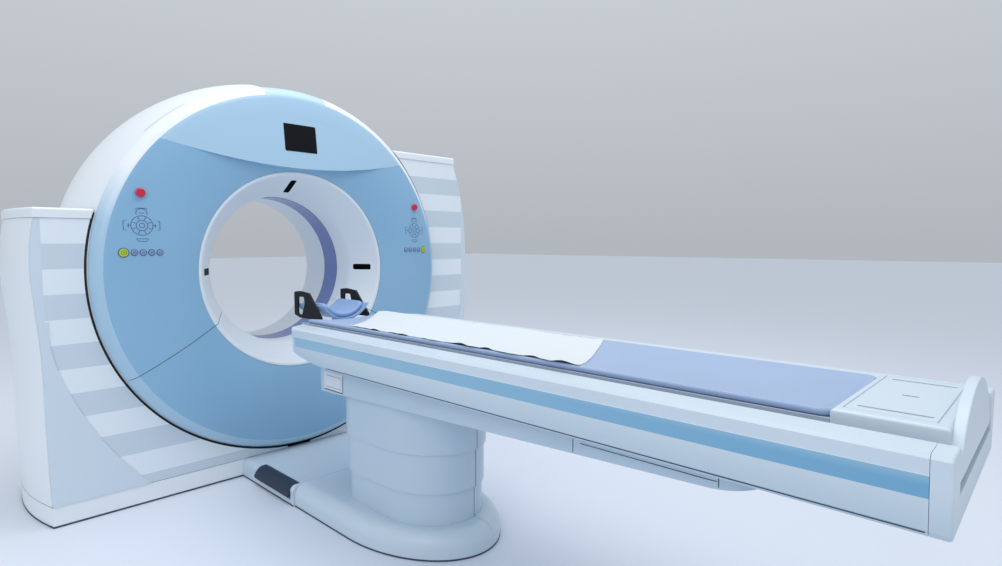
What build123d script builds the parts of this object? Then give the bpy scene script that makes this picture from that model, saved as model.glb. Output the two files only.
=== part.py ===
from build123d import *
import os
from math import atan2, cos, degrees, hypot, radians, sin, sqrt

# CT scanner: a gantry drum that tilts in a floor stand, and a patient table on a lifting column.
# Frame: origin on the floor below the bore axis, +X right as seen from the table,
# +Y from the table into the bore, +Z up. Millimetres.

# Drum covers
DRUM_R = 898             # barrel surface of the drum, a sphere about the crossing of both axes
DRUM_LIFT = 44           # air between the drum and the floor
AXIS_Z = DRUM_R + DRUM_LIFT    # the bore axis, which the tilt axis crosses
DRUM_HALF = 300          # half depth of the barrel band
WALL = 6                 # moulded cover wall
SEAM = 0.8               # open joint between two covers
FACE_Y = 368             # crest of the front dome, in front of the tilt axis
CREST_R = 640            # bore radius at which the dome stands furthest forward
DOME_R = 710             # radius of the dome's own section
LIP_R = 461              # inner edge of the blue cover
RIM_W = 103              # from the barrel in to the shoulder
SHOULDER_R = DRUM_R - RIM_W      # where the dome turns into the rim
SPLIT_ANGLE = 30         # radial seams of the covers, below the horizontal
CROWN_HALF = 150         # half width of the crown cover on top
CROWN_GAP = 0.6          # the crown laps under the side shells with this gap
CROWN_LAP = 15

# Brow of the upper cover
BROW_Z = 472             # lowest point of the brow line above the axis
BROW_RISE = 65           # how far the line rises to its ends
BROW_HALF = 550          # half length of the line
BROW_PROUD = 26          # the panel over the line stands this much in front of the dome
BROW_R = 5000            # radius of the panel's own surface
BROW_DROP = 29           # the panel surface is centred this much below the axis

# Bore
BORE_R = 357             # throat of the bore
THROAT_Y = 194           # where the front funnel reaches the throat
REAR_THROAT_Y = 258      # and the rear one
FUNNEL_BEND = 60         # rounding between funnel and throat
LAND = 14                # flat rim of the funnel ring
WINDOW_Y = (-84, 43)     # the ring that the beam passes through
SLOT_W = 30              # laser windows
SLOT_R = (372, 424)      # their inner and outer ends

# Rotor and tilt frame
SHELL_AIR = 48           # room between the barrel and the frame
ROTOR_AIR = 60           # and the frame's ring outside the rotor
FRAME_R = DRUM_R - SHELL_AIR     # stationary ring behind the rotor
ROTOR_R = FRAME_R - ROTOR_AIR
ROTOR_BORE = 400
ROTOR_Y = (0, 50)        # the rotor plate
HUB_R = 480
RUN_FIT = 0.05           # radial running clearance of a bearing or shaft
BEARING_R = 540
BEARING_Y = (60, 120)
FRAME_T = 60
TUBE_HALF = 150
TUBE_R = (ROTOR_R - 250, ROTOR_R - 30)
TUBE_DEPTH = 170
DETECTOR_R = (ROTOR_R - 190, ROTOR_R - 50)
DETECTOR_DEPTH = 140
GENERATOR_X = (ROTOR_R - 320, ROTOR_R - 100)
BALANCE_R = ROTOR_R - 190
PIN_R = 60               # trunnion pin
ARM_HALF = 110           # half height of the trunnion arm

# Controls on the front cover
CLEAR = 0.3              # gap round a piece that moves in a cover
ESTOP_AT = (DRUM_R - 223, 323)
ESTOP_R = 17.5
START_AT = (DRUM_R - 159, 89)
START_R = 15.5
KEY_R = 9.5
KEY_PITCH = 30
KEY_FIRST = DRUM_R - 195
KEYS = 4
BUTTON_PROUD = 5
ESTOP_PROUD = 16
DISPLAY_HALF = 80
DISPLAY_Z = (549, 676)   # above the axis
DISPLAY_CORNER = 5
DISPLAY_T = 12
COLLAR_T = 4             # flat collar under each emergency stop
STOP_LIFT = 3.5          # gap between its head and the collar, which the travel closes

# Stand
GAP = 10                 # air between the drum and the stand
STAND_Y = 298            # half depth of the stand at its edges
BULGE = 42               # the side covers swell by this much at mid depth
PLINTH_Z = 80
LEFT_TOP = 1161
RIGHT_TOP = 1535
CAP_T = 38
CAP_ROUND = 10
WING_IN = 560            # the wings reach in to here behind the drum
NECK = 60                # the front covers end this far from the middle below the drum
# Outer edges and fold of the wings: distances out from the drum's radius
LEFT_EDGE = ((90, 0), (98, 0.3), (106, 0.6), (122, 0.8), (105, 1))
RIGHT_EDGE = ((202, 0), (209, 0.36), (223, 0.6), (187, 0.86), (124, 1))
FOLD = ((78, 779), (66, 636), (11, 475), (-84, 288), (-219, 105), (-258, 60))
FOLD_SHIFT = 100         # the fold of the right wing lies further out
CAP_OVER = 4             # the caps overhang the covers
FOLD_T = 4               # the lower corner panels stand proud by this much

# Floor frame
FLOOR_T = 28
PEDESTAL_X = DRUM_R + 16       # inner face of each pedestal
PEDESTAL_W = 64
PIN_END = PEDESTAL_X + PEDESTAL_W - 3
PEDESTAL_HALF = 150
BLOCK_HALF = 92          # bearing block
ANCHOR_R = 9
ANCHOR_AT = (PEDESTAL_X + 26, 255)

# Bridge and foot of the table
BRIDGE_HALF = 278
BRIDGE_END = 770
BRIDGE_Z = 80
FOOT_HALF = 272
FOOT_END = 1590
FOOT_ROUND = 1165
FOOT_Z = 90
FOOT_FILLET = 52
PLATE_T = 16
PEDAL_Y = (-745, -440)
PEDAL_X = (232, 291)
PEDAL_T = 12
PEDAL_PIN_R = 5
PEDAL_AT = (242, 66)     # its hinge
PEDAL_LOW = 36           # lower edge of the pedal
NOTCH_Z = 22
BRIDGE_FILLET = 22
TABLE_ANCHOR_X = 160
TABLE_ANCHOR_Y = (-1440, -840)
COL_HOLE = 20

# Column
COL_HALF = 202
COL_HEAD = 940
COL_FOOT = 1525
COL_WALL = 7
COL_GAP = 0.8
COL_BEND = (140, 250)    # length of the rounded head end and foot end
MID_Z = 205              # lower edge of the middle cover
TOP_Z = 345              # lower edge of the upper cover
LOWER_TOP = 330
MID_TOP = 470
MAST_Y = 1230
MAST_HALF = (75, 120)
MAST_WALL = 10
MAST_TOP = 420
UPPER_MAST_Z = (260, 660)

# Table
BEAM_HALF = 220
BEAM_Z = 492             # its underside at the head end
BEAM_RISE = 64           # and how far that rises to the foot end
BEAM_Y = (-2570, -888)
BODY_HALF = 310
BODY_Z = (607, 745)
BODY_SHOULDER = 737
BODY_FOOT_HALF = 290
BODY_Y = (-2874, -745)
NOSE_BACK = 105          # the nose curves back by this much to the sides
NOSE_SLOPE = 345         # and by this much to its underside
NOSE_CURVE = ((30, 690), (135, 636))     # points between, back from the nose and up
NOSE_UNDER = 660         # higher than the nose's underside over the beam
TROUGH_HALF = 238
TROUGH_Z = 665
STRIPE_Z = (671, 711)
STRIPE_T = 3
END_T = 32
BODY_TAPER = 14          # the side walls lean in by this much down to the lower corner
BODY_BEVEL = 10          # small bevel along the lower corner
BODY_FLANGE = 200        # the cover's lower flange reaches in to here
FLOOR_SLOT = 160         # half width of the slot in the trough floor
RAIL_X = (100, 150)
RAIL_Z = 600
RAIL_Y = (-2550, -1090)
RUNNER_X = (115, 135)
BEAM_ROUND = 90

# Tabletop
TOP_HALF = 210
TOP_EDGE = 745
TOP_UNDER = 703
TOP_SAG = 17
MAT_T = 17
HEAD_Y = -745
MAT_END = -2706
BOX_END = -2887
BOX_Z = 764
ARCH_T = 18
ARCH_Z = (681, 816)
ARCH_HALF = 235
PAPER_T = 0.8
MAT_HALF = 201
LIP_W = 4
SLOT_AT = 150            # slots of the foot box
SLOT_SIZE = (10, 120)
SLOT_DEEP = 12
BOX_UNDER = 690
PAPER = ((205, -700), (-190, -1063), (-200, -2129), (205, -1933))
HOLDER_Y = (HEAD_Y, -510)
CRADLE_R = 130
CRADLE_T = 8
CRADLE_Z = 868           # centre of the cradle's round
CRADLE_TOP = 802
CUSHION_T = 22
TONGUE = (40, 55)        # half width and length of the tongue that carries it
TONGUE_LIFT = 3          # its underside over the tabletop's
WING_T = 8               # the webbing wings on both sides, in side view, and their windows
WING_ROUND = 9
WING = ((-513, 752), (-513, 853), (-560, 858), (-640, 852), (-738, 756), (-738, 741), (-560, 741))
WING_WINDOW = ((-541, 757), (-545, 833), (-597, 834), (-604, 805), (-578, 752))


# Helpers

def block(x, y, z):
    """A block from pairs of limits."""
    middle = Pos(sum(x) / 2, sum(y) / 2, sum(z) / 2)
    return middle * Box(x[1] - x[0], y[1] - y[0], z[1] - z[0])


def both(half):
    """Limits at equal distance on both sides of the middle."""
    return (-half, half)


def across(outline, y0, y1):
    """An (X, Z) outline carried along the bore from y0 to y1."""
    front = Plane((0, y1, 0), x_dir=(1, 0, 0), z_dir=(0, -1, 0))
    return front * extrude(outline, y1 - y0, dir=(0, 0, 1))


def upright(outline, z0, z1):
    """An (X, Y) outline carried up from z0 to z1."""
    return Pos(0, 0, z0) * extrude(outline, z1 - z0, dir=(0, 0, 1))


def sideways(outline, x0, x1):
    """A (Y, Z) outline carried from x0 to x1."""
    side = Plane((x0, 0, 0), x_dir=(0, 1, 0), z_dir=(1, 0, 0))
    return side * extrude(outline, x1 - x0, dir=(0, 0, 1))


def turned(outline):
    """An outline of (bore radius, Y) turned about the bore axis."""
    return Pos(0, 0, AXIS_Z) * revolve(outline, Axis.Y, 360)


def ring(inner, outer, y0, y1):
    """A plain ring about the bore axis."""
    return turned(Polygon((inner, y0), (outer, y0), (outer, y1), (inner, y1), align=None))


def ball(radius):
    """A ball about the crossing of the bore axis and the tilt axis."""
    return Pos(0, 0, AXIS_Z) * Sphere(radius)


def pin_x(radius, x0, x1):
    """A round bar along the tilt axis."""
    return Plane((x0, 0, AXIS_Z), x_dir=(0, 1, 0), z_dir=(1, 0, 0)) * extrude(Circle(radius), x1 - x0)


def push_hole(x, z, radius, y0, y1):
    """A round bar along the bore direction, z above the axis."""
    return across(Pos(x, AXIS_Z + z) * Circle(radius), y0, y1)


def mirrored(shape):
    """The same piece on the other side."""
    return mirror(shape, Plane.YZ)


FAR = 3000               # beyond all of the scanner
PIECES = {}


def keep(name, shape):
    """Note a finished piece under its node name."""
    PIECES[name] = shape


# Drum covers

def dome_y(r):
    """Depth of the front dome at a bore radius."""
    return -FACE_Y + DOME_R - sqrt(DOME_R ** 2 - (r - CREST_R) ** 2)


def rim_r(inset=0):
    return sqrt((DRUM_R - inset) ** 2 - DRUM_HALF ** 2)


def dome_curve(inset):
    """The dome's section from lip to rim, set back by a wall."""
    lip = (LIP_R, dome_y(LIP_R) + inset)
    crest = (CREST_R, -FACE_Y + inset)
    bend = SHOULDER_R - inset / 3
    shoulder = (bend, dome_y(SHOULDER_R) + inset)
    rim = (rim_r(inset), -DRUM_HALF)
    slope = (SHOULDER_R - CREST_R) / sqrt(DOME_R ** 2 - (SHOULDER_R - CREST_R) ** 2)
    dome = ThreePointArc(lip, crest, shoulder)
    round_off = TangentArc(shoulder, rim, tangent=(1, slope))
    return lip, rim, [dome, round_off]


def dome_cover():
    """The whole front cover before it is split."""
    lip, rim, outer = dome_curve(0)
    lip_in, rim_in, inner = dome_curve(WALL)
    ends = [Line(lip, lip_in), Line(rim, rim_in)]
    return turned(make_face(Curve(children=outer + inner + ends).edges()))


def lower_sector(lowered=0):
    """The sector below the two radial seams."""
    reach = 1200
    x = reach * cos(radians(SPLIT_ANGLE))
    z = reach * sin(radians(SPLIT_ANGLE))
    top = AXIS_Z - lowered
    outline = Polygon((0, top), (x, top - z), (x, -reach), (-x, -reach), (-x, top - z), align=None)
    return across(outline, -reach, reach)


def brow_line(shift=0):
    """The smile-shaped line, from its left end to its right end."""
    low = (0, AXIS_Z + BROW_Z + shift)
    end_z = AXIS_Z + BROW_Z + BROW_RISE + shift
    return ThreePointArc((-BROW_HALF, end_z), low, (BROW_HALF, end_z))


def brow_ball(inset):
    """The ball that the panel over the brow line is part of."""
    back = sqrt(BROW_R ** 2 - (BROW_Z + BROW_DROP) ** 2)
    centre_y = -FACE_Y - BROW_PROUD + back
    return Pos(0, centre_y, AXIS_Z - BROW_DROP) * Sphere(BROW_R - inset)


def behind_dome(inset):
    """All that lies behind the dome's wall, as far back as the barrel band."""
    lip, rim, curve = dome_curve(inset)
    back = [Line(lip, (LIP_R, -DRUM_HALF)), Line((LIP_R, -DRUM_HALF), rim)]
    return turned(make_face(Curve(children=curve + back).edges()))


def brow_panel():
    """The raised panel between the brow line and the shoulder of the dome."""
    front = -FACE_Y - 2 * BROW_PROUD
    top = AXIS_Z + SHOULDER_R
    end_z = AXIS_Z + BROW_Z + BROW_RISE
    half = BROW_HALF
    sides = Polyline((-half, end_z), (-half, top), (half, top), (half, end_z))
    region = across(make_face(brow_line().edges() + sides.edges()), front, -DRUM_HALF)
    disc = across(Pos(0, AXIS_Z) * Circle(SHOULDER_R - 2 * WALL), front, -DRUM_HALF)
    return (region & disc & brow_ball(0)) - behind_dome(WALL)


def display_region(y0, y1):
    """The display's opening, carried along the bore direction."""
    height = DISPLAY_Z[1] - DISPLAY_Z[0]
    middle = AXIS_Z + sum(DISPLAY_Z) / 2
    window = Pos(0, middle) * RectangleRounded(2 * DISPLAY_HALF, height, DISPLAY_CORNER)
    return across(window, y0, y1)


def controls(side):
    """Each control of one side: name, place, radius, and what kind it is."""
    name = "left" if side < 0 else "right"
    yield f"estop_{name}", side * ESTOP_AT[0], ESTOP_AT[1], ESTOP_R, "stop"
    yield f"start_button_{name}", side * START_AT[0], START_AT[1], START_R, "key"
    for i in range(KEYS):
        x = side * (KEY_FIRST - i * KEY_PITCH)
        yield f"function_button_{name}_{i + 1}", x, START_AT[1], KEY_R, "key"


def control_piece(x, z, radius, kind):
    """A push button that slides in its hole, or an emergency stop on its collar."""
    face = dome_y(hypot(x, z))
    if kind == "key":
        button = push_hole(x, z, radius, face - BUTTON_PROUD, face + 2 * WALL)
        return fillet(button.faces().sort_by(Axis.Y)[0].edges(), BUTTON_PROUD / 3)
    head_back = face - COLLAR_T - STOP_LIFT
    head = push_hole(x, z, radius, face - ESTOP_PROUD, head_back)
    head = fillet(head.faces().sort_by(Axis.Y)[0].edges(), BUTTON_PROUD)
    return head + push_hole(x, z, radius / 2, head_back, face + 4 * WALL)


def control_hole(x, z, radius, kind):
    face = dome_y(hypot(x, z))
    bore = radius + CLEAR if kind == "key" else radius / 2 + CLEAR
    return push_hole(x, z, bore, face - 2 * WALL, face + 3 * WALL)


def front_covers():
    """The blue dome with its brow, display opening and controls, in two pieces."""
    cover = dome_cover() + brow_panel()
    back = brow_ball(DISPLAY_T)
    cover -= display_region(-FACE_Y - 2 * BROW_PROUD, -DRUM_HALF) - back
    for side in (-1, 1):
        for name, x, z, radius, kind in controls(side):
            if kind == "stop":
                face = dome_y(hypot(x, z))
                cover += push_hole(x, z, radius + COLLAR_T, face - COLLAR_T, face + WALL / 2)
            cover -= control_hole(x, z, radius, kind)
            keep(name, control_piece(x, z, radius, kind))
    keep("front_cover_upper", cover - lower_sector())
    keep("front_cover_lower", cover & lower_sector(SEAM / cos(radians(SPLIT_ANGLE))))
    keep("display", (display_region(-FACE_Y - 2 * BROW_PROUD, -DRUM_HALF) & brow_ball(-1)) - back)


def funnel(window_y, throat_y, lip_y):
    """A funnel ring from the lip to the scan window, as a moulded wall."""
    inward = 1 if window_y > throat_y else -1
    lip = LIP_R - SEAM
    land = (LIP_R - LAND, lip_y)
    throat = (BORE_R, throat_y)
    back = (BORE_R + WALL, throat_y + inward * WALL / 2)
    points = [(BORE_R, window_y), throat, land, (lip, lip_y), (lip, lip_y + inward * 2 * WALL), back]
    section = Polygon(*points, (BORE_R + WALL, window_y), align=None)
    bends = (((lip, lip_y), WALL / 2), (land, LAND), (throat, FUNNEL_BEND), (back, FUNNEL_BEND - WALL))
    for (r, y), bend in bends:
        corner = [v for v in section.vertices() if hypot(v.X - r, v.Y - y) < SEAM]
        section = fillet(corner, bend)
    return turned(section)


def funnels():
    front = funnel(WINDOW_Y[0], -THROAT_Y, dome_y(LIP_R))
    slots = []
    for angle in (0, 90, 180):
        slot = Pos(sum(SLOT_R) / 2, 0) * RectangleRounded(SLOT_R[1] - SLOT_R[0], SLOT_W, SLOT_W / 5)
        slots.append(across(Pos(0, AXIS_Z) * Rot(0, 0, angle) * slot, -FACE_Y, WINDOW_Y[0]))
    windows = Part() + [front & slot for slot in slots]
    for slot in slots:
        front -= slot
    keep("laser_windows", windows)
    keep("front_funnel_upper", front - lower_sector())
    keep("front_funnel_lower", front & lower_sector(SEAM / cos(radians(SPLIT_ANGLE))))
    rear = funnel(WINDOW_Y[1], REAR_THROAT_Y, -dome_y(LIP_R))
    lower = rear & lower_sector(SEAM / cos(radians(SPLIT_ANGLE)))
    keep("rear_funnel", Part() + [rear - lower_sector(), lower])
    keep("scan_window", ring(BORE_R - 2, BORE_R + WALL - 2, *WINDOW_Y))


def drum_shells():
    """The white barrel band: two side shells and the crown between them on top."""
    slab = block(both(DRUM_R + 1), both(DRUM_HALF - SEAM / 2), (AXIS_Z - DRUM_R - 1, AXIS_Z + DRUM_R + 1))
    band = (ball(DRUM_R) - ball(DRUM_R - WALL)) & slab
    top = (AXIS_Z + CREST_R, AXIS_Z + DRUM_R + 1)
    crown_side = block(both(CROWN_HALF + SEAM), both(DRUM_HALF), top)
    holes = pin_x(PIN_R + CLEAR, -DRUM_R - 1, DRUM_R + 1)
    half = block((-DRUM_R - 1, -SEAM / 2), both(DRUM_HALF), (AXIS_Z - DRUM_R - 1, AXIS_Z + DRUM_R + 1))
    left = (band & half) - crown_side - holes
    keep("drum_shell_left", left)
    keep("drum_shell_right", mirrored(left))
    crown_r = DRUM_R - WALL - CROWN_GAP
    crown = (ball(crown_r) - ball(crown_r - WALL)) & slab
    keep("crown_cover", crown & block(both(CROWN_HALF + CROWN_LAP), both(DRUM_HALF), top))


def rear_cover():
    keep("rear_cover", mirror(dome_cover(), Plane.XZ))


# Rotor and tilt frame

def tilt_frame():
    """The stationary ring behind the rotor, with an arm and a trunnion on each side."""
    frame = ring(ROTOR_BORE, FRAME_R, BEARING_Y[1], BEARING_Y[1] + FRAME_T)
    arm_x = (ROTOR_R + GAP + 2, DRUM_R - WALL)
    arm = block(arm_x, (-PIN_R - GAP, BEARING_Y[1] + FRAME_T), (AXIS_Z - ARM_HALF, AXIS_Z + ARM_HALF))
    arm = arm & ball(DRUM_R - WALL - CLEAR)
    arm += pin_x(PIN_R, DRUM_R - 5 * WALL, PIN_END)
    keep("tilt_frame", frame + arm + mirrored(arm))
    keep("bearing_outer_ring", ring(HUB_R, BEARING_R, *BEARING_Y))


def balance_weight(units):
    """A block on the rotor opposite to the pull of its units, which balances them."""
    pull = Vector(0, 0, 0)
    for unit in units:
        pull += (unit.center() - Vector(0, 0, AXIS_Z)) * unit.volume
    size = sqrt(hypot(pull.X, pull.Z) / (BALANCE_R * TUBE_DEPTH))
    outline = Rot(0, 0, degrees(atan2(-pull.Z, -pull.X))) * Pos(BALANCE_R, 0) * Rectangle(size, size)
    return across(Pos(0, AXIS_Z) * outline, ROTOR_Y[0] - TUBE_DEPTH, ROTOR_Y[0])


def rotor():
    """The turning plate with the tube, the detector and the generator on its front."""
    front = ROTOR_Y[0]
    depth = (front - TUBE_DEPTH, front)
    tube = block(both(TUBE_HALF), depth, (AXIS_Z + TUBE_R[0], AXIS_Z + TUBE_R[1]))
    tube = fillet(tube.edges().filter_by(Axis.Y), GAP * 3)
    sector = Polygon((0, 0), (-ROTOR_R, -ROTOR_R), (ROTOR_R, -ROTOR_R), align=None)
    arc = ring(DETECTOR_R[0], DETECTOR_R[1], front - DETECTOR_DEPTH, front)
    arc = arc & across(Pos(0, AXIS_Z) * sector, -ROTOR_R, ROTOR_R)
    generator = block(GENERATOR_X, depth, (AXIS_Z - TUBE_HALF, AXIS_Z + TUBE_HALF))
    plate = ring(ROTOR_BORE, ROTOR_R, *ROTOR_Y)
    plate += ring(ROTOR_BORE, HUB_R - RUN_FIT, ROTOR_Y[1], BEARING_Y[1] - GAP / 2)
    keep("rotor_drum", plate + balance_weight([tube, arc, generator]))
    keep("tube_housing", tube)
    keep("detector_arc", arc)
    keep("generator", generator)


# Stand

def wing_face(side, shift=0, over=0):
    """Outline of a wing, its outer edge moved out by a shift."""
    edge = LEFT_EDGE if side < 0 else RIGHT_EDGE
    top = LEFT_TOP if side < 0 else RIGHT_TOP
    low = PLINTH_Z - over
    points = [(side * (DRUM_R + x + shift), low + part * (top + over - low)) for x, part in edge]
    swell = Spline(*points)
    sides = Polyline(points[-1], (side * WING_IN, points[-1][1]), (side * WING_IN, low), points[0])
    return make_face(swell.edges() + sides.edges())


def wing(side, inset=0):
    """The wing's body between plinth and cap, swollen at mid depth."""
    faces = []
    for y, swell in ((-STAND_Y, 0), (0, BULGE), (STAND_Y, 0)):
        frame = Plane((0, y, 0), x_dir=(1, 0, 0), z_dir=(0, -1, 0))
        faces.append(frame * wing_face(side, swell - inset, inset))
    return loft(faces)


def side_cover(side):
    """The curved outer wall of a wing."""
    reach = (0, FAR) if side > 0 else (-FAR, 0)
    depth = both(STAND_Y - WALL - SEAM)
    top = RIGHT_TOP if side > 0 else LEFT_TOP
    return (wing(side) - wing(side, WALL)) & block(reach, depth, (PLINTH_Z, top))


def wide_face(side):
    """A wing outline carried in to the middle."""
    top = RIGHT_TOP if side > 0 else LEFT_TOP
    x = side * (WING_IN + NECK) / 2
    middle = Pos(x, (PLINTH_Z + top) / 2) * Rectangle(WING_IN - NECK + 1, top - PLINTH_Z)
    return wing_face(side) + middle


def fold_panel(side):
    """The lower outer corner of the front, which stands proud of the fold."""
    shift = FOLD_SHIFT if side > 0 else 0
    points = [(side * (DRUM_R + x + shift), z) for x, z in FOLD]
    out = side * FAR
    sides = Polyline(points[-1], (out, points[-1][1]), (out, points[0][1]), points[0])
    corner = make_face(Spline(*points).edges() + sides.edges())
    return across(corner, -STAND_Y - FOLD_T, -STAND_Y) & across(wing_face(side), -STAND_Y - FOLD_T, 0)


def stand_covers():
    opening = ball(DRUM_R + GAP)
    front = Part()
    rear = Part()
    for side, name in ((-1, "left"), (1, "right")):
        panel = across(wide_face(side), -STAND_Y, -STAND_Y + WALL) + fold_panel(side)
        front += panel - opening
        rear += across(wide_face(side), STAND_Y - WALL, STAND_Y) - opening
        keep(f"{name}_side_cover", side_cover(side))
        keep(f"{name}_top_cap", top_cap(side) - opening)
    keep("stand_front_cover", front)
    keep("stand_rear_cover", rear)


def plan(left, right, over):
    """The stand seen from above, between two edges, with both sides swollen."""
    y = STAND_Y + over
    left += DRUM_R + over
    right += DRUM_R + over
    swell = BULGE
    left_side = ThreePointArc((-left, y), (-left - swell, 0), (-left, -y))
    right_side = ThreePointArc((right, -y), (right + swell, 0), (right, y))
    ends = [Line((-left, -y), (right, -y)), Line((right, y), (-left, y))]
    return make_face(Curve(children=[left_side, right_side] + ends).edges())


def top_cap(side):
    """The flat cap on a wing, hollow from below."""
    top = RIGHT_TOP if side > 0 else LEFT_TOP
    outline = plan(LEFT_EDGE[-1][0], RIGHT_EDGE[-1][0], CAP_OVER)
    cap = upright(outline, top + SEAM, top + CAP_T)
    cap = fillet(cap.faces().sort_by(Axis.Z)[-1].edges(), CAP_ROUND)
    cap -= upright(plan(LEFT_EDGE[-1][0], RIGHT_EDGE[-1][0], -2 * WALL), top, top + CAP_T - WALL)
    reach = (0, FAR) if side > 0 else (-FAR, 0)
    return cap & block(reach, both(FAR), (top, top + CAP_T))


def plinth():
    """The low band round the stand's foot."""
    left, right = LEFT_EDGE[0][0], RIGHT_EDGE[0][0]
    band = upright(plan(left, right, 0), 0, PLINTH_Z - SEAM)
    keep("stand_plinth", band - upright(plan(left, right, -WALL), 0, PLINTH_Z))


def base_frame():
    """The floor plate with a pedestal and a bearing block for each trunnion."""
    left, right = LEFT_EDGE[0][0], RIGHT_EDGE[0][0]
    frame = upright(plan(left, right, -WALL - CLEAR), 0, FLOOR_T)
    blocks = Part()
    for side in (-1, 1):
        x = sorted((side * PEDESTAL_X, side * (PEDESTAL_X + PEDESTAL_W)))
        frame += block(x, both(PEDESTAL_HALF), (FLOOR_T, AXIS_Z - BLOCK_HALF))
        bearing = block(x, both(BLOCK_HALF), (AXIS_Z - BLOCK_HALF, AXIS_Z + BLOCK_HALF))
        bearing = fillet(bearing.edges().filter_by(Axis.X).sort_by(Axis.Z)[-2:], BLOCK_HALF * 0.6)
        blocks += bearing
        for y in (-ANCHOR_AT[1], ANCHOR_AT[1]):
            frame -= Pos(side * ANCHOR_AT[0], y, 0) * Cylinder(ANCHOR_R, 3 * FLOOR_T)
    blocks -= pin_x(PIN_R + RUN_FIT, -2 * DRUM_R, 2 * DRUM_R)
    keep("base_frame", frame)
    keep("pivot_bearings", blocks)


# Bridge, foot and pedals

def bridge():
    """The low cover between stand and table, with a notch for each pedal."""
    y = (-BRIDGE_END, -STAND_Y - SEAM)
    cover = block(both(BRIDGE_HALF), y, (0, BRIDGE_Z))
    cover = fillet(cover.edges().filter_by(Axis.Y).sort_by(Axis.Z)[-2:], BRIDGE_FILLET)
    inner_half = PEDAL_X[0] - WALL
    cover -= block(both(inner_half), (y[0] - 1, y[1] + 1), (-1, BRIDGE_Z - WALL))
    for side in (-1, 1):
        x = sorted((side * PEDAL_X[0], side * 2 * BRIDGE_HALF))
        notch_y = (PEDAL_Y[0] - CLEAR, PEDAL_Y[1] + CLEAR)
        cover -= block(x, notch_y, (NOTCH_Z, 2 * BRIDGE_Z))
        cover -= pedal_pin(side, PEDAL_PIN_R + RUN_FIT, WALL * 2)
        keep("pedal_left" if side < 0 else "pedal_right", pedal(side))
    keep("bridge_cover", cover)


def pedal_pin(side, radius, over):
    place = Pos(side * PEDAL_AT[0], PEDAL_AT[1]) * Circle(radius)
    return across(place, PEDAL_Y[0] - over, PEDAL_Y[1] + over)


def pedal(side):
    """A curved foot bar over the bridge's edge, hinged at its inner side."""
    x0, x1 = PEDAL_X[0] + 2, PEDAL_X[1]
    top, low, t = BRIDGE_Z - 1, PEDAL_LOW, PEDAL_T
    outer = ThreePointArc((x0, top), (x0 + 0.72 * (x1 - x0), low + 0.72 * (top - low)), (x1, low))
    wide, high = x1 - t - x0, top - t - low
    inner = ThreePointArc((x0, top - t), (x0 + 0.72 * wide, low + 0.72 * high), (x1 - t, low))
    ends = [Line((x0, top), (x0, top - t)), Line((x1, low), (x1 - t, low))]
    section = make_face(Curve(children=[outer, inner] + ends).edges())
    bar = across(section, *PEDAL_Y)
    if side < 0:
        bar = mirrored(bar)
    return bar + pedal_pin(side, PEDAL_PIN_R, WALL)


def half_ellipse(y, half, length):
    """The half of an ellipse that lies beyond y, towards the side the length points to."""
    side = Pos(0, y + length / 2) * Rectangle(2 * half, abs(length))
    return (Pos(0, y) * Ellipse(half, abs(length))) & side


def foot_outline(inset=0):
    back = -FOOT_ROUND
    half = FOOT_HALF - inset
    front = -BRIDGE_END - SEAM - inset
    straight = Pos(0, (back + front) / 2) * Rectangle(2 * half, front - back)
    return straight + half_ellipse(back, half, -(FOOT_END - FOOT_ROUND - inset))


def foot_form(inset):
    """The foot's solid form, set in by a wall, with its upper rim rounded off."""
    form = upright(foot_outline(inset), -inset, FOOT_Z - inset)
    front = -BRIDGE_END - SEAM - inset
    rim = form.faces().sort_by(Axis.Z)[-1].edges().filter_by(lambda e: e.center().Y < front - SEAM)
    return fillet(rim, FOOT_FILLET - inset)


def table_foot():
    cover = foot_form(0) - foot_form(WALL)
    front = block(both(PEDAL_X[0] - WALL), (-BRIDGE_END - 4 * WALL, 0), (-1, BRIDGE_Z - WALL))
    cover -= front
    cover -= upright(column_outline(COL_HOLE), 0, 2 * FOOT_Z)
    keep("table_base_cover", cover)
    plate_half = PEDAL_X[0] - WALL - CLEAR
    y = (-COL_FOOT, -STAND_Y - 4 * WALL)
    within = upright(foot_outline(2 * WALL) + bridge_strip(), 0, PLATE_T)
    plate = block(both(plate_half), y, (0, PLATE_T)) & within
    mast = Pos(0, -MAST_Y) * (Rectangle(2 * MAST_HALF[0], 2 * MAST_HALF[1]))
    hollow = Pos(0, -MAST_Y) * Rectangle(2 * (MAST_HALF[0] - MAST_WALL), 2 * (MAST_HALF[1] - MAST_WALL))
    plate += upright(mast - hollow, PLATE_T, MAST_TOP)
    for y in TABLE_ANCHOR_Y:
        for side in (-1, 1):
            plate -= Pos(side * TABLE_ANCHOR_X, y, 0) * Cylinder(ANCHOR_R, 3 * PLATE_T)
    keep("table_base_frame", plate)


def bridge_strip():
    """Plan of the strip under the bridge."""
    length = BRIDGE_END - STAND_Y
    return Pos(0, -STAND_Y - length / 2) * Rectangle(2 * (PEDAL_X[0] - WALL), length + 6 * WALL)


# Column

def column_outline(inset=0):
    """Plan of a column cover, blunt at the head and long at the foot."""
    head, foot = COL_BEND
    half = COL_HALF - inset
    top, bottom = -COL_HEAD - head, -COL_FOOT + foot
    middle = Pos(0, (top + bottom) / 2) * Rectangle(2 * half, top - bottom)
    return middle + half_ellipse(top, half, head - inset) + half_ellipse(bottom, half, inset - foot)


def column_cover(level, z0, z1):
    inset = level * (COL_WALL + COL_GAP)
    return upright(column_outline(inset) - column_outline(inset + COL_WALL), z0, z1)


def column():
    keep("column_top_cover", column_cover(0, TOP_Z, BEAM_Z + BEAM_RISE) - beam_solid(0))
    keep("column_mid_cover", column_cover(1, MID_Z, MID_TOP))
    keep("column_lower_cover", column_cover(2, FOOT_Z, LOWER_TOP))


# Table

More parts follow.
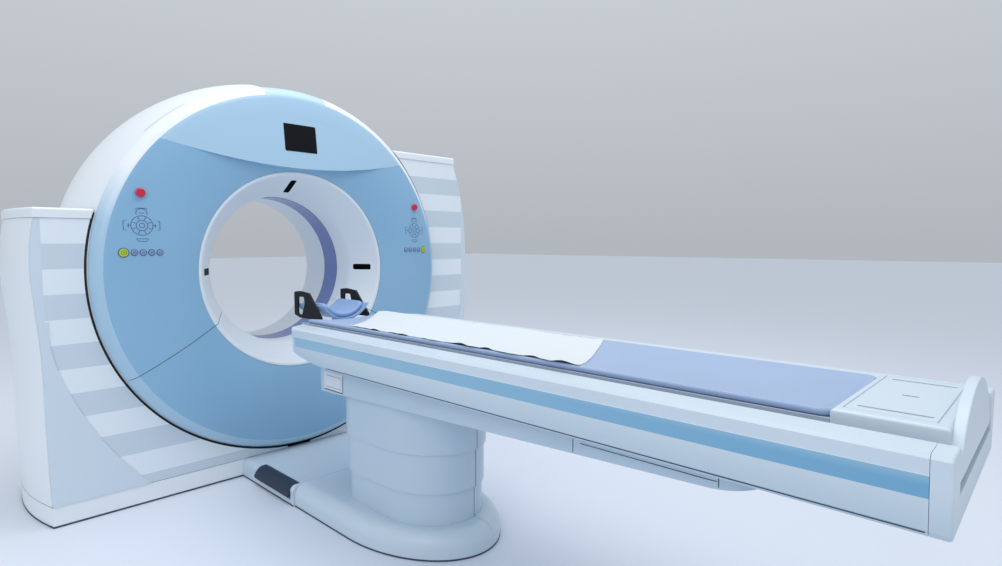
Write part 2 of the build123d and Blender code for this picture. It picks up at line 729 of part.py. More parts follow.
def table_frame():
    """Two long rails on a cross plate, with the outer tube of the mast."""
    top = TROUGH_Z
    frame = Part()
    for side in (-1, 1):
        frame += block(sorted((side * RAIL_X[0], side * RAIL_X[1])), RAIL_Y, (RAIL_Z, top))
    half_x = MAST_HALF[0] + CLEAR
    half_y = MAST_HALF[1] + CLEAR
    middle = (-MAST_Y - half_y - 2 * MAST_WALL, -MAST_Y + half_y + 2 * MAST_WALL)
    frame += block(both(RAIL_X[1]), middle, (RAIL_Z, RAIL_Z + 4 * MAST_WALL))
    frame += block(both(RAIL_X[1]), (RAIL_Y[0], RAIL_Y[0] + 4 * MAST_WALL), (RAIL_Z, RAIL_Z + MAST_WALL))
    outer = Pos(0, -MAST_Y) * Rectangle(2 * (half_x + MAST_WALL), 2 * (half_y + MAST_WALL))
    inner = Pos(0, -MAST_Y) * Rectangle(2 * half_x, 2 * half_y)
    frame += upright(outer, *UPPER_MAST_Z)
    frame -= upright(inner, UPPER_MAST_Z[0], UPPER_MAST_Z[1] - MAST_WALL)
    keep("table_frame", frame)


def beam_solid(inset):
    """The support beam's form up to the body, set in by a wall."""
    y0, y1 = BEAM_Y[0] + inset, BEAM_Y[1] - inset
    low = BEAM_Z + inset
    top = NOSE_UNDER
    half = BEAM_HALF - inset
    profile = Polygon((y1, top), (y1, low), (y0, low + BEAM_RISE), (y0, top), align=None)
    outline = Pos(0, (y0 + y1) / 2) * Rectangle(2 * half, y1 - y0)
    outline = fillet(outline.vertices().sort_by(Axis.Y)[:2], BEAM_ROUND - inset)
    outline = fillet(outline.vertices().sort_by(Axis.Y)[-2:], BEAM_ROUND / 4 - inset / 2)
    return sideways(profile, -half, half) & upright(outline, BEAM_Z, top)


def support_beam():
    """The cover under the table, open above, cut to the underside of the body and its nose."""
    whole = (BODY_Y[0], BODY_Y[1] + 1)
    cover = beam_solid(0) - beam_solid(WALL) - (across(body_section(-SEAM), *whole) & nose(-SEAM))
    cover -= upright(column_outline(COL_WALL), BEAM_Z - 1, BEAM_Z + BEAM_RISE + 2 * WALL)
    keep("support_beam_cover", cover)


def body_section(inset):
    """The body cover's outer section."""
    top, low = BODY_Z[1] - inset, BODY_Z[0] + inset
    shoulder = BODY_SHOULDER - inset
    half = BODY_HALF - inset
    foot = BODY_FOOT_HALF - inset
    bevel = BODY_Z[1] - BODY_SHOULDER
    right = [(half - bevel, top), (half, shoulder), (half - BODY_TAPER, low + BODY_BEVEL), (foot, low)]
    left = [(-x, z) for x, z in reversed(right)]
    return Polygon(*right, *left, align=None)


def nose(inset):
    """The form that the head end of the body cover is cut to."""
    head = BODY_Y[1] - inset
    low, top = BODY_Z[0] - 1, BODY_Z[1] + 1
    rows = ((0, top), *NOSE_CURVE, (NOSE_SLOPE - 30, low))
    curve = Spline(*[(head - back, z) for back, z in rows])
    tail = BODY_Y[0] - END_T - 1
    sides = Polyline((head - rows[-1][0], low), (tail, low), (tail, top), (head, top))
    side_form = sideways(make_face(curve.edges() + sides.edges()), -BODY_HALF - 1, BODY_HALF + 1)
    half = BODY_HALF + 1
    arc = ThreePointArc((-half, head - NOSE_BACK), (0, head), (half, head - NOSE_BACK))
    back = Polyline((half, head - NOSE_BACK), (half, tail), (-half, tail), (-half, head - NOSE_BACK))
    return side_form & upright(make_face(arc.edges() + back.edges()), low, top)


def body_cover():
    """The table's long cover: an open trough between two hollow sides, a nose, side stripes."""
    whole = (BODY_Y[0], BODY_Y[1] + 1)
    trough = block(both(TROUGH_HALF), (BODY_Y[0] - 2 * END_T, 0), (TROUGH_Z, 2 * TROUGH_Z))
    body = (across(body_section(0), *whole) & nose(0)) - trough
    cavity = across(body_section(WALL), *whole) & nose(2 * WALL)
    cavity -= block(both(TROUGH_HALF + WALL), (2 * BODY_Y[0], 0), (TROUGH_Z - WALL, 2 * TROUGH_Z))
    body -= cavity
    slot_y = (BODY_Y[0] + 4 * WALL, RAIL_Y[1] + GAP)
    body -= block(both(BODY_FLANGE), slot_y, (BODY_Z[0] - 1, BODY_Z[0] + 2 * WALL))
    body -= block(both(FLOOR_SLOT), slot_y, (TROUGH_Z - 2 * WALL, TROUGH_Z + 1))
    band = across(body_section(0) - body_section(STRIPE_T), *whole) & nose(0)
    band = band & block(both(BODY_HALF), (BODY_Y[0], BODY_Y[1] - NOSE_BACK - 2 * WALL), STRIPE_Z)
    keep("table_body_cover", body - band)
    keep("table_side_stripes", band)
    cap = across(body_section(0), BODY_Y[0] - END_T, BODY_Y[0] - SEAM)
    edges = cap.faces().sort_by(Axis.Y)[0].edges()
    keep("table_end_cap", fillet(edges, WALL) - trough)


# Tabletop

def sag_arc(half, edge, deep):
    """A hanging arc between two edges."""
    return ThreePointArc((-half, edge), (0, edge - deep), (half, edge))


def curved_slab(half, low, high, sag):
    """A slab with both faces hanging in the same curve."""
    ends = [Line((-half, low), (-half, high)), Line((half, low), (half, high))]
    arcs = [sag_arc(half, low, sag), sag_arc(half, high, sag)]
    return make_face(Curve(children=arcs + ends).edges())


def runner(side, y, z):
    return block(sorted((side * RUNNER_X[0], side * RUNNER_X[1])), y, z)


def tabletop():
    half = TOP_HALF
    side_z = TOP_EDGE - 2 * LIP_W
    under = ThreePointArc((-half, side_z), (0, TOP_UNDER), (half, side_z))
    top = sag_arc(half - LIP_W, TOP_EDGE, TOP_SAG)
    lips = []
    for side in (-1, 1):
        edge = side * half
        lip = side * (half - LIP_W)
        lips += Polyline((edge, side_z), (edge, TOP_EDGE), (lip, TOP_EDGE)).edges()
    section = make_face(under.edges() + top.edges() + lips)
    shell = across(section, MAT_END, HEAD_Y)
    for side in (-1, 1):
        shell += runner(side, (MAT_END, HEAD_Y - LAND), (TROUGH_Z + CLEAR, TOP_UNDER + TOP_SAG))
    keep("tabletop_shell", shell)
    low = TOP_EDGE + CLEAR
    pad = across(curved_slab(MAT_HALF, low, low + MAT_T, TOP_SAG), MAT_END + CLEAR, HEAD_Y - LAND)
    corners = pad.edges().filter_by(Axis.Z)
    keep("mattress", fillet(corners, 2 * LAND))
    sheet = curved_slab(MAT_HALF, low + MAT_T + CLEAR, low + MAT_T + CLEAR + PAPER_T, TOP_SAG)
    keep("paper_sheet", across(sheet, MAT_END, 0) & upright(Polygon(*PAPER, align=None), 0, 2 * TOP_EDGE))


def foot_box():
    """The box at the tabletop's foot, with two long slots and a short one."""
    y = (BOX_END, MAT_END - SEAM)
    box = block(both(TOP_HALF), y, (BOX_UNDER, BOX_Z))
    box = fillet(box.faces().sort_by(Axis.Z)[-1].edges(), WALL)
    middle = sum(y) / 2
    for x, size in ((-SLOT_AT, SLOT_SIZE[1]), (0, SLOT_SIZE[0] * 3), (SLOT_AT, SLOT_SIZE[1])):
        slot = SlotOverall(size, SLOT_SIZE[0], rotation=90)
        box -= upright(Pos(x, middle) * slot, BOX_Z - SLOT_DEEP, BOX_Z + 1)
    for side in (-1, 1):
        box += runner(side, (BOX_END + LAND, y[1]), (TROUGH_Z + CLEAR, BOX_UNDER))
    keep("foot_box", box)
    low, top = ARCH_Z
    shoulder = low + 2 * WALL
    arch = ThreePointArc((-ARCH_HALF, shoulder), (0, top), (ARCH_HALF, shoulder))
    base = ARCH_HALF - 2 * WALL
    sides = Polyline((ARCH_HALF, shoulder), (base, low), (-base, low), (-ARCH_HALF, shoulder))
    plate = across(make_face(arch.edges() + sides.edges()), BOX_END - ARCH_T, BOX_END)
    keep("end_plate", fillet(plate.faces().sort_by(Axis.Y)[0].edges(), WALL / 2))


def cradle_ring(outer, inner, y0, y1, top):
    section = Pos(0, CRADLE_Z) * (Circle(outer) - Circle(inner))
    return across(section, y0, y1) & block(both(outer), (y0, y1), (0, top))


def head_holder():
    """The cradle on its tongue, the cushion in it and a webbing wing on each side."""
    y0, y1 = HOLDER_Y
    inner = CRADLE_R - CRADLE_T
    half, length = TONGUE
    tongue = block(both(half), (y0, y0 + length), (TOP_UNDER + TONGUE_LIFT, CRADLE_Z - inner))
    cradle = cradle_ring(CRADLE_R, inner, y0, y1, CRADLE_TOP) + tongue
    keep("head_holder", cradle - across(Pos(0, CRADLE_Z) * Circle(inner), y0 - 1, y1 + 1))
    pad = cradle_ring(inner - CLEAR, inner - CUSHION_T, y0 + LAND, y1 - LAND, CRADLE_TOP - WALL)
    keep("head_cushion", pad)
    outer = Polygon(*WING, align=None)
    window = Polygon(*WING_WINDOW, align=None)
    outline = fillet(outer.vertices(), WING_ROUND) - fillet(window.vertices(), WING_ROUND)
    reach = sqrt(CRADLE_R ** 2 - (CRADLE_Z - CRADLE_TOP) ** 2) + CLEAR
    piece = sideways(outline, reach, reach + WING_T)
    keep("head_straps", Part() + [piece, mirrored(piece)])


def write():
    """Build every piece and write one file for each."""
    for make in (front_covers, funnels, drum_shells, rear_cover, tilt_frame, rotor,
                 stand_covers, plinth, base_frame, bridge, table_foot, column,
                 table_frame, support_beam, body_cover, tabletop, foot_box, head_holder):
        make()
    os.makedirs("parts", exist_ok=True)
    for name, shape in PIECES.items():
        export_step(shape, f"parts/{name}.step")
    print(len(PIECES), "pieces")


write()
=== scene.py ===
# %% [markdown]
# # A CT scanner, dressed for its portrait
#
# A CT scanner is a big ring that tilts in a floor stand, and a long table that lifts and slides
# into the ring. The hard parts are loaded as a fixed frame, already at their real size and place.
# This script gives them their finishes, and adds what is soft, printed or too fine for the frame.
# Lengths are in metres, +Z is up, and +Y points from the table into the ring.

# %% Load the frame
from math import cos, exp, hypot, pi, radians, sin, sqrt

import bpy
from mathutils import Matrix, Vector
from mathutils.bvhtree import BVHTree


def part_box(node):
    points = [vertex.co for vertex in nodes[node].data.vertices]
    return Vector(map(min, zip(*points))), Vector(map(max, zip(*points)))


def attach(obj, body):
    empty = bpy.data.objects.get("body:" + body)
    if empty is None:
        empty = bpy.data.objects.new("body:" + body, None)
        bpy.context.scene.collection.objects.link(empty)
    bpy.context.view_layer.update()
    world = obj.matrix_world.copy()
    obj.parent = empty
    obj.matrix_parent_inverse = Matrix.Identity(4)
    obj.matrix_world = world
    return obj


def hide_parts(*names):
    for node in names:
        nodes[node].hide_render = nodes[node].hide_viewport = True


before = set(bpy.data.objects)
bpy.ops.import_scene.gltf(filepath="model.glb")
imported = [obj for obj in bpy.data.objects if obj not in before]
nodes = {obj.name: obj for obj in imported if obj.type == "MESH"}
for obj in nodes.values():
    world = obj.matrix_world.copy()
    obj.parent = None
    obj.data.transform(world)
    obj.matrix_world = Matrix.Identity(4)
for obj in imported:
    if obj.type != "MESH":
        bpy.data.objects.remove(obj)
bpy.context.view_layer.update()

# %% [markdown]
# ## Camera
#
# The photograph was taken standing at the left of the table, with a wide lens, looking slightly
# down. A wide lens close by makes the near end of the table look huge, so the place and the lens
# matter more than anything else for likeness. Both were worked out from lines on the object
# whose real size is known: the bore, the table edges and the floor.

# %% Camera
CAMERA_AT = (-1.424, -3.021, 1.070)
CAMERA_TURN = 46.46      # degrees from the bore's direction towards +X
CAMERA_DIP = 3.83        # degrees below the horizon
FOCAL = 21.66            # mm
SENSOR = 36              # mm, its width

camera_data = bpy.data.cameras.new("camera")
camera_data.lens = FOCAL
camera_data.sensor_width = SENSOR
camera_data.clip_end = 60
camera = bpy.data.objects.new("camera", camera_data)
camera.location = CAMERA_AT
camera.rotation_euler = (radians(90 - CAMERA_DIP), 0, -radians(CAMERA_TURN))
bpy.context.collection.objects.link(camera)
bpy.context.scene.camera = camera
bpy.context.scene.view_settings.view_transform = "Standard"
print("camera", FOCAL, "mm at", CAMERA_AT)

# %% [markdown]
# ## Tools for materials
#
# Colours are easiest to read as the hex codes of a screen, but Blender mixes light in linear
# numbers, so one function turns the one into the other. A material is a small network of nodes,
# and one more function adds a node, sets it and plugs it in, so each recipe stays a few lines.

# %% Material helpers
def linear(hex_code):
    """The linear colour for an sRGB hex code such as 8FB4D6."""
    levels = [int(hex_code[i:i + 2], 16) / 255 for i in (0, 2, 4)]
    return [v / 12.92 if v <= 0.04045 else ((v + 0.055) / 1.055) ** 2.4 for v in levels] + [1.0]


def add(tree, kind, inputs=(), **settings):
    """Add a node; inputs maps a socket to a value or to the output socket that feeds it."""
    new = tree.nodes.new(kind)
    for name, value in settings.items():
        setattr(new, name, value)
    for name, value in dict(inputs).items():
        if isinstance(value, bpy.types.NodeSocket):
            tree.links.new(value, new.inputs[name])
        else:
            new.inputs[name].default_value = value
    return new


def start(name):
    """A new material, its tree, its main shader and the object's own coordinates in metres."""
    material = bpy.data.materials.new(name)
    material.use_nodes = True
    tree = material.node_tree
    shader = tree.nodes["Principled BSDF"]
    place = add(tree, "ShaderNodeTexCoord").outputs["Object"]
    return material, tree, shader, place


def relief(tree, shader, height, depth, strength=1.0):
    """Relief on the shader: a socket gives its height, and the depth is in metres."""
    bump = add(tree, "ShaderNodeBump", {"Height": height, "Distance": depth, "Strength": strength})
    tree.links.new(bump.outputs["Normal"], shader.inputs["Normal"])


def grain(tree, shader, place, millimetres, depth):
    """Fine relief: a noise whose grains and depth have the given sizes in millimetres."""
    inputs = {"Vector": place, "Scale": 1000 / millimetres, "Detail": 2}
    noise = add(tree, "ShaderNodeTexNoise", inputs)
    relief(tree, shader, noise.outputs["Fac"], depth / 1000)


def two_tone(tree, factor, first, second, under=None):
    """A mix of two colours; under is a socket that takes the place of the first.

    A node that mixes colours has them at sockets 6 and 7 and gives the mix at its third output.
    """
    inputs = {0: factor, 6: linear(first), 7: linear(second)}
    mix = add(tree, "ShaderNodeMix", inputs, data_type="RGBA")
    if under is not None:
        tree.links.new(under, mix.inputs[6])
    return mix.outputs[2]


def cloudy(tree, place, pale, deep, metres):
    """A colour that drifts softly between two tones over the given distance."""
    noise = add(tree, "ShaderNodeTexNoise", {"Vector": place, "Scale": 1 / metres, "Detail": 1})
    return two_tone(tree, noise.outputs["Fac"], pale, deep)


def maths(tree, operation, a, b=0.0):
    """The result of one sum on two values or sockets."""
    return add(tree, "ShaderNodeMath", {0: a, 1: b}, operation=operation).outputs[0]


def fade(tree, value, first, last, low=0.0, high=1.0):
    """A share that goes from low to high while the value goes from first to last."""
    inputs = {"Value": value, "From Min": first, "From Max": last, "To Min": low, "To Max": high}
    return add(tree, "ShaderNodeMapRange", inputs).outputs[0]


def axes_of(tree, place):
    """The x, y and z of a place, as sockets."""
    return add(tree, "ShaderNodeSeparateXYZ", {"Vector": place}).outputs


def within(tree, axes, middle_x, middle_z, radius):
    """One inside a circle, seen along the bore, and nought outside it."""
    squares = []
    for axis, middle in (("X", middle_x), ("Z", middle_z)):
        away = maths(tree, "SUBTRACT", axes[axis], middle)
        squares.append(maths(tree, "MULTIPLY", away, away))
    return maths(tree, "LESS_THAN", maths(tree, "ADD", *squares), radius ** 2)


# %% [markdown]
# ## Moulded covers
#
# The covers are vacuum-formed or foamed plastic with a sprayed paint. Paint of that kind is
# smooth but not mirror-like: it shows a soft sheen, and close up a faint orange peel of a few
# millimetres. So each cover material is the same recipe with another colour: a very gentle drift
# of tone, roughness near 0.35, and a thin clear layer on top.
#
# The drum's front has three tones more. The panel over the brow line is paler, the turned rim
# carries a painted highlight, paler all round as it catches more light, and the upper rim shows
# the white lip of the side shells, apart from the stretch at the top where the pale blue crown
# cover ends.

# %% Cover materials
AXIS_Z = 0.942           # height of the bore axis
BROW_CIRCLE = (0, 3.7734, 2.3594)      # the brow line is part of this circle: x, z, radius
LIP_RADIUS = 0.806       # the side shells' white lip begins this far from the bore axis
LIP_FROM_Z = 1.150       # it fades in from about the height of the stand's left cap
LIP_FULL_Z = 1.380
CROWN_X = 0.15           # half the width of the crown cover at the rim
TABLE_SHADE_Z = (0.690, 0.605)          # painted shade deepens the table's paint between these heights

TONE_DRIFT = 0.5         # distance over which a cover's tone drifts
PEEL = (2.5, 0.02)       # size and depth of the orange peel, in millimetres

DOME_BLUE = "90BBD8"
COVER_WHITE = "ECF1F5"
TABLE_WHITE = "D3DFE8"


def sprayed(tree, shader, place, coat_roughness=0.2):
    """The sheen of sprayed paint: a soft gloss, a thin clear coat and a faint orange peel."""
    shader.inputs["Roughness"].default_value = 0.36
    shader.inputs["Coat Weight"].default_value = 0.15
    shader.inputs["Coat Roughness"].default_value = coat_roughness
    grain(tree, shader, place, *PEEL)


def painted_cover(name, pale, deep):
    """Sprayed plastic with a gentle drift of tone."""
    material, tree, shader, place = start(name)
    tree.links.new(cloudy(tree, place, pale, deep, TONE_DRIFT), shader.inputs["Base Color"])
    sprayed(tree, shader, place)
    return material


def dome_paint():
    """Blue paint, paler over the brow line, with a painted highlight on the turned rim and the
    white lip of the side shells on its upper part.
    """
    material, tree, shader, place = start("blue_sprayed_cover")
    axes = axes_of(tree, place)
    blue = cloudy(tree, place, DOME_BLUE, "83AFD1", TONE_DRIFT)
    tone = two_tone(tree, within(tree, axes, *BROW_CIRCLE), DOME_BLUE, "A9CBE2", blue)
    rim = maths(tree, "SUBTRACT", 1.0, within(tree, axes, 0, AXIS_Z, LIP_RADIUS))
    # A painted highlight: the turned rim is paler all round, as it catches more light.
    shoulder_highlight = two_tone(tree, maths(tree, "MULTIPLY", rim, 0.45), DOME_BLUE, "C4DDE9", tone)
    high = fade(tree, axes["Z"], LIP_FROM_Z, LIP_FULL_Z)
    aside = maths(tree, "GREATER_THAN", maths(tree, "ABSOLUTE", axes["X"]), CROWN_X)
    share = maths(tree, "MULTIPLY", maths(tree, "MULTIPLY", rim, high), aside)
    lip = two_tone(tree, share, DOME_BLUE, COVER_WHITE, shoulder_highlight)
    tree.links.new(lip, shader.inputs["Base Color"])
    sprayed(tree, shader, place)
    return material


def table_cover():
    """The table's paint, with painted shade that deepens it towards the lower edge."""
    material, tree, shader, place = start("table_sprayed_cover")
    base = cloudy(tree, place, TABLE_WHITE, "C9D7E2", TONE_DRIFT)
    low = fade(tree, axes_of(tree, place)["Z"], *TABLE_SHADE_Z)
    # Painted shade: the sides grow darker towards their lower edge.
    tone = two_tone(tree, low, TABLE_WHITE, "B7CAD8", base)
    tree.links.new(tone, shader.inputs["Base Color"])
    sprayed(tree, shader, place)
    return material


blue_paint = dome_paint()
crown_paint = painted_cover("pale_blue_sprayed_cover", "A9C7DA", "9DBED3")
white_paint = painted_cover("white_sprayed_cover", COVER_WHITE, "E5ECF1")
ring_paint = painted_cover("grey_white_sprayed_cover", "E6EDF2", "DCE5EC")
table_paint = table_cover()
foot_paint = painted_cover("foot_sprayed_cover", "CDDBE6", "C3D3DF")
lower_paint = painted_cover("column_sprayed_cover", "BFD2DF", "B6CBDA")
print("cover paints ready")

# %% [markdown]
# ## The banded front of the stand
#
# The stand's front is striped: level bands, 94.5 mm high, alternate between a lighter and a
# slightly darker white. The darker tone is partly the paint's own and partly painted shade. The
# bands are flush and have crisp edges, so they belong in the material and not in the mesh. The
# height above the floor picks the band. The bands stop at a margin near the outer edges and on
# the lower corner panels, which stand 4 mm proud, so the depth and the side position of each
# point switch them off there. These parts take a greyer tone, painted shade, as they are lit
# less.

# %% Banded stand
BAND_TOP = 1.161         # the bands are counted down from the left cap
BAND_PITCH = 0.0945
MARGIN_LEFT = -0.985
MARGIN_RIGHT = 1.085
FOLD_DEPTH = -0.2995     # points further forward are on the proud corner panels
BAND_WHITE = "E6EEF4"


def banded_stand():
    """White paint with level bands of a darker tone, partly paint and partly painted shade, except
    at the edges and lower corners, which take a greyer painted shade.
    """
    material, tree, shader, place = start("banded_stand_cover")
    axes = axes_of(tree, place)
    drop = maths(tree, "SUBTRACT", BAND_TOP, axes["Z"])
    band = maths(tree, "FRACT", maths(tree, "DIVIDE", drop, 2 * BAND_PITCH))
    dark = maths(tree, "GREATER_THAN", band, 0.5)
    inside = maths(tree, "MULTIPLY", maths(tree, "GREATER_THAN", axes["X"], MARGIN_LEFT),
                   maths(tree, "LESS_THAN", axes["X"], MARGIN_RIGHT))
    flat = maths(tree, "MULTIPLY", inside, maths(tree, "GREATER_THAN", axes["Y"], FOLD_DEPTH))
    # Painted shade: the margins and lower corner panels take a greyer tone, as they are lit less.
    light = two_tone(tree, flat, "CFDCE6", BAND_WHITE)
    # Alternate bands take a darker tone, partly the paint's own and partly painted shade.
    tone = two_tone(tree, maths(tree, "MULTIPLY", dark, flat), BAND_WHITE, "CBD7E1", light)
    tree.links.new(tone, shader.inputs["Base Color"])
    sprayed(tree, shader, place, coat_roughness=0.03)
    return material


stand_paint = banded_stand()
print("bands every", BAND_PITCH * 1000, "mm")

# %% [markdown]
# ## The other finishes
#
# Each is named for what the real one is made of. The window strip that the beam passes through
# is a thin polyester film, which takes the colour of the dark space behind it. The display is
# tinted acrylic, and the laser windows are a dark filter glass with hardly any glare. The foot
# pedals are ribbed rubber. The mattress and the head cushion are foam in a coated fabric, which
# has a very fine pebble grain and little shine. The paper sheet is crepe paper, matt and full of
# tiny wrinkles across its length.

# %% Other materials
RIB_PITCH = 0.012        # of the grip ribs on a pedal
STRIPE_LIGHT_Y = (-2.9, -0.9)  # painted light: the side stripe grows paler from foot to head
STRIPE_LIGHT_Z = (0.690, 0.711)              # and from its middle to its upper edge
STRIPE_HIGHLIGHT_Z = 0.7088    # above this it shows a painted highlight
STRIPE_BLUE = "6FA8CC"


def plain(name, colour, roughness, extra=(), size=2.0, depth=0.01):
    """One colour with fine relief; extra maps other sockets of the shader to their values."""
    material, tree, shader, place = start(name)
    values = {"Base Color": linear(colour), "Roughness": roughness, **dict(extra)}
    for socket, value in values.items():
        shader.inputs[socket].default_value = value
    grain(tree, shader, place, size, depth)
    return material


def window_film():
    """Polyester film round the bore: blue grey, with soft streaks along the ring."""
    material, tree, shader, place = start("polyester_window_film")
    tree.links.new(cloudy(tree, place, "6E83BC", "5A70AC", 0.2), shader.inputs["Base Color"])
    shader.inputs["Roughness"].default_value = 0.28
    grain(tree, shader, place, 4, 0.02)
    return material


def coated_fabric(name, pale, deep):
    """Fabric with a plastic coat: pebble grain of 1.5 mm, drawn at 3 mm so that it shows."""
    material, tree, shader, place = start(name)
    tree.links.new(cloudy(tree, place, pale, deep, 0.35), shader.inputs["Base Color"])
    shader.inputs["Roughness"].default_value = 0.48
    shader.inputs["Sheen Weight"].default_value = 0.1
    cells = add(tree, "ShaderNodeTexVoronoi", {"Vector": place, "Scale": 1000 / 3})
    relief(tree, shader, cells.outputs["Distance"], 0.0002, 0.6)
    return material


def crepe_paper():
    """White crepe paper: wrinkles 4 mm apart across the sheet and soft larger buckles."""
    material, tree, shader, place = start("crepe_paper")
    shader.inputs["Base Color"].default_value = linear("D7DDE0")
    shader.inputs["Roughness"].default_value = 0.85
    stretched = add(tree, "ShaderNodeMapping", {"Vector": place, "Scale": (60, 260, 60)})
    inputs = {"Vector": stretched.outputs[0], "Scale": 1.0, "Detail": 4}
    wrinkles = add(tree, "ShaderNodeTexNoise", inputs)
    relief(tree, shader, wrinkles.outputs["Fac"], 0.0015, 0.5)
    return material


def ribbed_rubber():
    """Dark rubber with grip ribs along the pedal."""
    material, tree, shader, place = start("ribbed_rubber")
    shader.inputs["Base Color"].default_value = linear("273447")
    shader.inputs["Roughness"].default_value = 0.62
    scale = 2 * pi / RIB_PITCH / 20          # at scale 1 the wave turns by 20 radians a metre
    ribs = add(tree, "ShaderNodeTexWave", {"Vector": place, "Scale": scale}, bands_direction="Y")
    relief(tree, shader, ribs.outputs["Fac"], 0.001, 0.6)
    return material


def stripe_paint():
    """The side stripe: blue plastic with painted light, paler towards the head end and its upper
    edge, with a painted highlight along that edge.
    """
    material, tree, shader, place = start("blue_abs_stripe")
    axes = axes_of(tree, place)
    along = fade(tree, axes["Y"], *STRIPE_LIGHT_Y)
    upper = fade(tree, axes["Z"], *STRIPE_LIGHT_Z)
    # Painted light: paler towards the head end and towards the upper edge.
    pale = maths(tree, "MAXIMUM", maths(tree, "MULTIPLY", along, 0.75),
                 maths(tree, "MULTIPLY", upper, 0.55))
    body = two_tone(tree, pale, STRIPE_BLUE, "A9CBDD")
    # A painted highlight along the upper edge.
    top = maths(tree, "GREATER_THAN", axes["Z"], STRIPE_HIGHLIGHT_Z)
    edge = two_tone(tree, top, STRIPE_BLUE, "D6E7EF", body)
    tree.links.new(edge, shader.inputs["Base Color"])
    shader.inputs["Roughness"].default_value = 0.32
    grain(tree, shader, place, 2, 0.01)
    return material


METAL = {"Metallic": 1.0}
GLOSSY = {"Coat Weight": 0.3}

film = window_film()
mattress_fabric = coated_fabric("mattress_coated_fabric", "9FB4D4", "95ABCD")
cushion_fabric = coated_fabric("cushion_coated_fabric", "8EABD6", "82A0CD")
holder_foam = coated_fabric("skinned_foam", "93AFD8", "88A5D0")
paper = crepe_paper()
rubber = ribbed_rubber()
# Black for the painted shade deep in the gap round the drum.
gap_shade_black = plain("gap_shade_black", "0B0D12", 0.8)
black_acrylic = plain("tinted_acrylic", "070A12", 0.2, {"Specular IOR Level": 0.2}, 20, 0.002)
filter_glass = plain("filter_glass", "05070B", 0.45, {"IOR": 1.1}, 20, 0.002)
black_nylon = plain("black_nylon_webbing", "090B10", 0.75, size=1.5, depth=0.1)
stripe_abs = stripe_paint()
red_abs = plain("red_abs", "D4103F", 0.3, GLOSSY)
green_abs = plain("yellow_green_abs", "B9CC2C", 0.32, GLOSSY)
key_abs = plain("grey_blue_abs", "8FAACB", 0.4, {"Coat Weight": 0.1})
print_ink = plain("printed_ink", "3A5484", 0.55)
dark_ink_and_shade = plain("dark_ink_and_shade", "1B2A44", 0.55)
# Dark for the joints between covers, and for painted shade along the floor and in the foot box
# slots.
joint_and_shade_dark = plain("dark_joint_and_painted_shade", "39485F", 0.7)
pale_seam = plain("pale_seam", "9FB0C2", 0.7)
seam_brown = plain("aged_seam", "A58F7C", 0.7)
laminate = plain("carbon_laminate", "AEB9CB", 0.38, {"Coat Weight": 0.2})
steel_paint = plain("painted_steel", "8D949D", 0.45)
ground_steel = plain("ground_steel", "B5B8BD", 0.3, METAL, size=1, depth=0.005)
cast_aluminium = plain("cast_aluminium", "BFC2C6", 0.42, METAL, size=1.5, depth=0.02)
label_film = plain("label_film", "DDE2E8", 0.3)
print("other materials ready")

# %% [markdown]
# ## Finish the hard parts
#
# The hard parts keep their shape and only take a finish. A table of finish to node names keeps
# this readable; a name that ends in a star stands for all nodes that start so.

# %% Assign finishes
FINISHES = {
    blue_paint: ["front_cover_upper", "front_cover_lower"],
    crown_paint: ["crown_cover"],
    white_paint: ["drum_shell_*", "rear_cover", "left_side_cover", "right_side_cover",
                  "left_top_cap", "right_top_cap", "stand_rear_cover", "stand_plinth"],
    stand_paint: ["stand_front_cover"],
    ring_paint: ["front_funnel_*", "rear_funnel"],
    table_paint: ["table_body_cover", "table_end_cap", "foot_box", "end_plate"],
    foot_paint: ["table_base_cover", "bridge_cover"],
    lower_paint: ["column_*", "support_beam_cover"],
    film: ["scan_window"],
    black_acrylic: ["display"],
    filter_glass: ["laser_windows"],
    stripe_abs: ["table_side_stripes"],
    red_abs: ["estop_*"],
    green_abs: ["start_button_*"],
    key_abs: ["function_button_*"],
    rubber: ["pedal_*"],
    laminate: ["tabletop_shell"],
    holder_foam: ["head_holder"],
    black_nylon: ["head_straps"],
    mattress_fabric: ["mattress"],
    cushion_fabric: ["head_cushion"],
    paper: ["paper_sheet"],
    steel_paint: ["tilt_frame", "base_frame", "table_base_frame", "table_frame"],
    ground_steel: ["pivot_bearings", "bearing_outer_ring"],
    cast_aluminium: ["rotor_drum", "tube_housing", "detector_arc", "generator"],
}


def matching(pattern):
    """The nodes that a name stands for."""
    if pattern.endswith("*"):
        return [name for name in nodes if name.startswith(pattern[:-1])]
    return [pattern]


finished = set()
for material, patterns in FINISHES.items():
    for pattern in patterns:
        for name in matching(pattern):
            for slot in nodes[name].material_slots:
                slot.material = material
            finished.add(name)
print("finished", len(finished), "nodes; left:", sorted(set(nodes) - finished))

# %% [markdown]
# ## Tools for added pieces
#
# Prints, seams and seals are thin, so they are drawn as flat strips that lie on a surface. The
# surface is any function from two values to a point in space: one for the domed front of the
# drum, one that drops a point onto the frame's own nodes, and plain planes. Each new piece rides
# on the body that carries it, so it moves with that body when a joint moves.

# %% Piece helpers
LIFT = 0.0006            # how far a print lies above its surface
DOME_RIDGE = 0.640       # the dome's front stands furthest out this far from the bore axis
DOME_ROUND = 0.710       # the radius of its turned shape
DOME_FRONT_Y = -0.368


def piece(name, points, faces, material, body):
    """A smooth mesh object that rides on a body of the frame."""
    mesh = bpy.data.meshes.new(name)
    mesh.from_pydata(points, [], faces)
    mesh.materials.append(material)
    mesh.polygons.foreach_set("use_smooth", [True] * len(mesh.polygons))
    thing = bpy.data.objects.new(name, mesh)
    bpy.context.collection.objects.link(thing)
    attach(thing, body)
    return thing


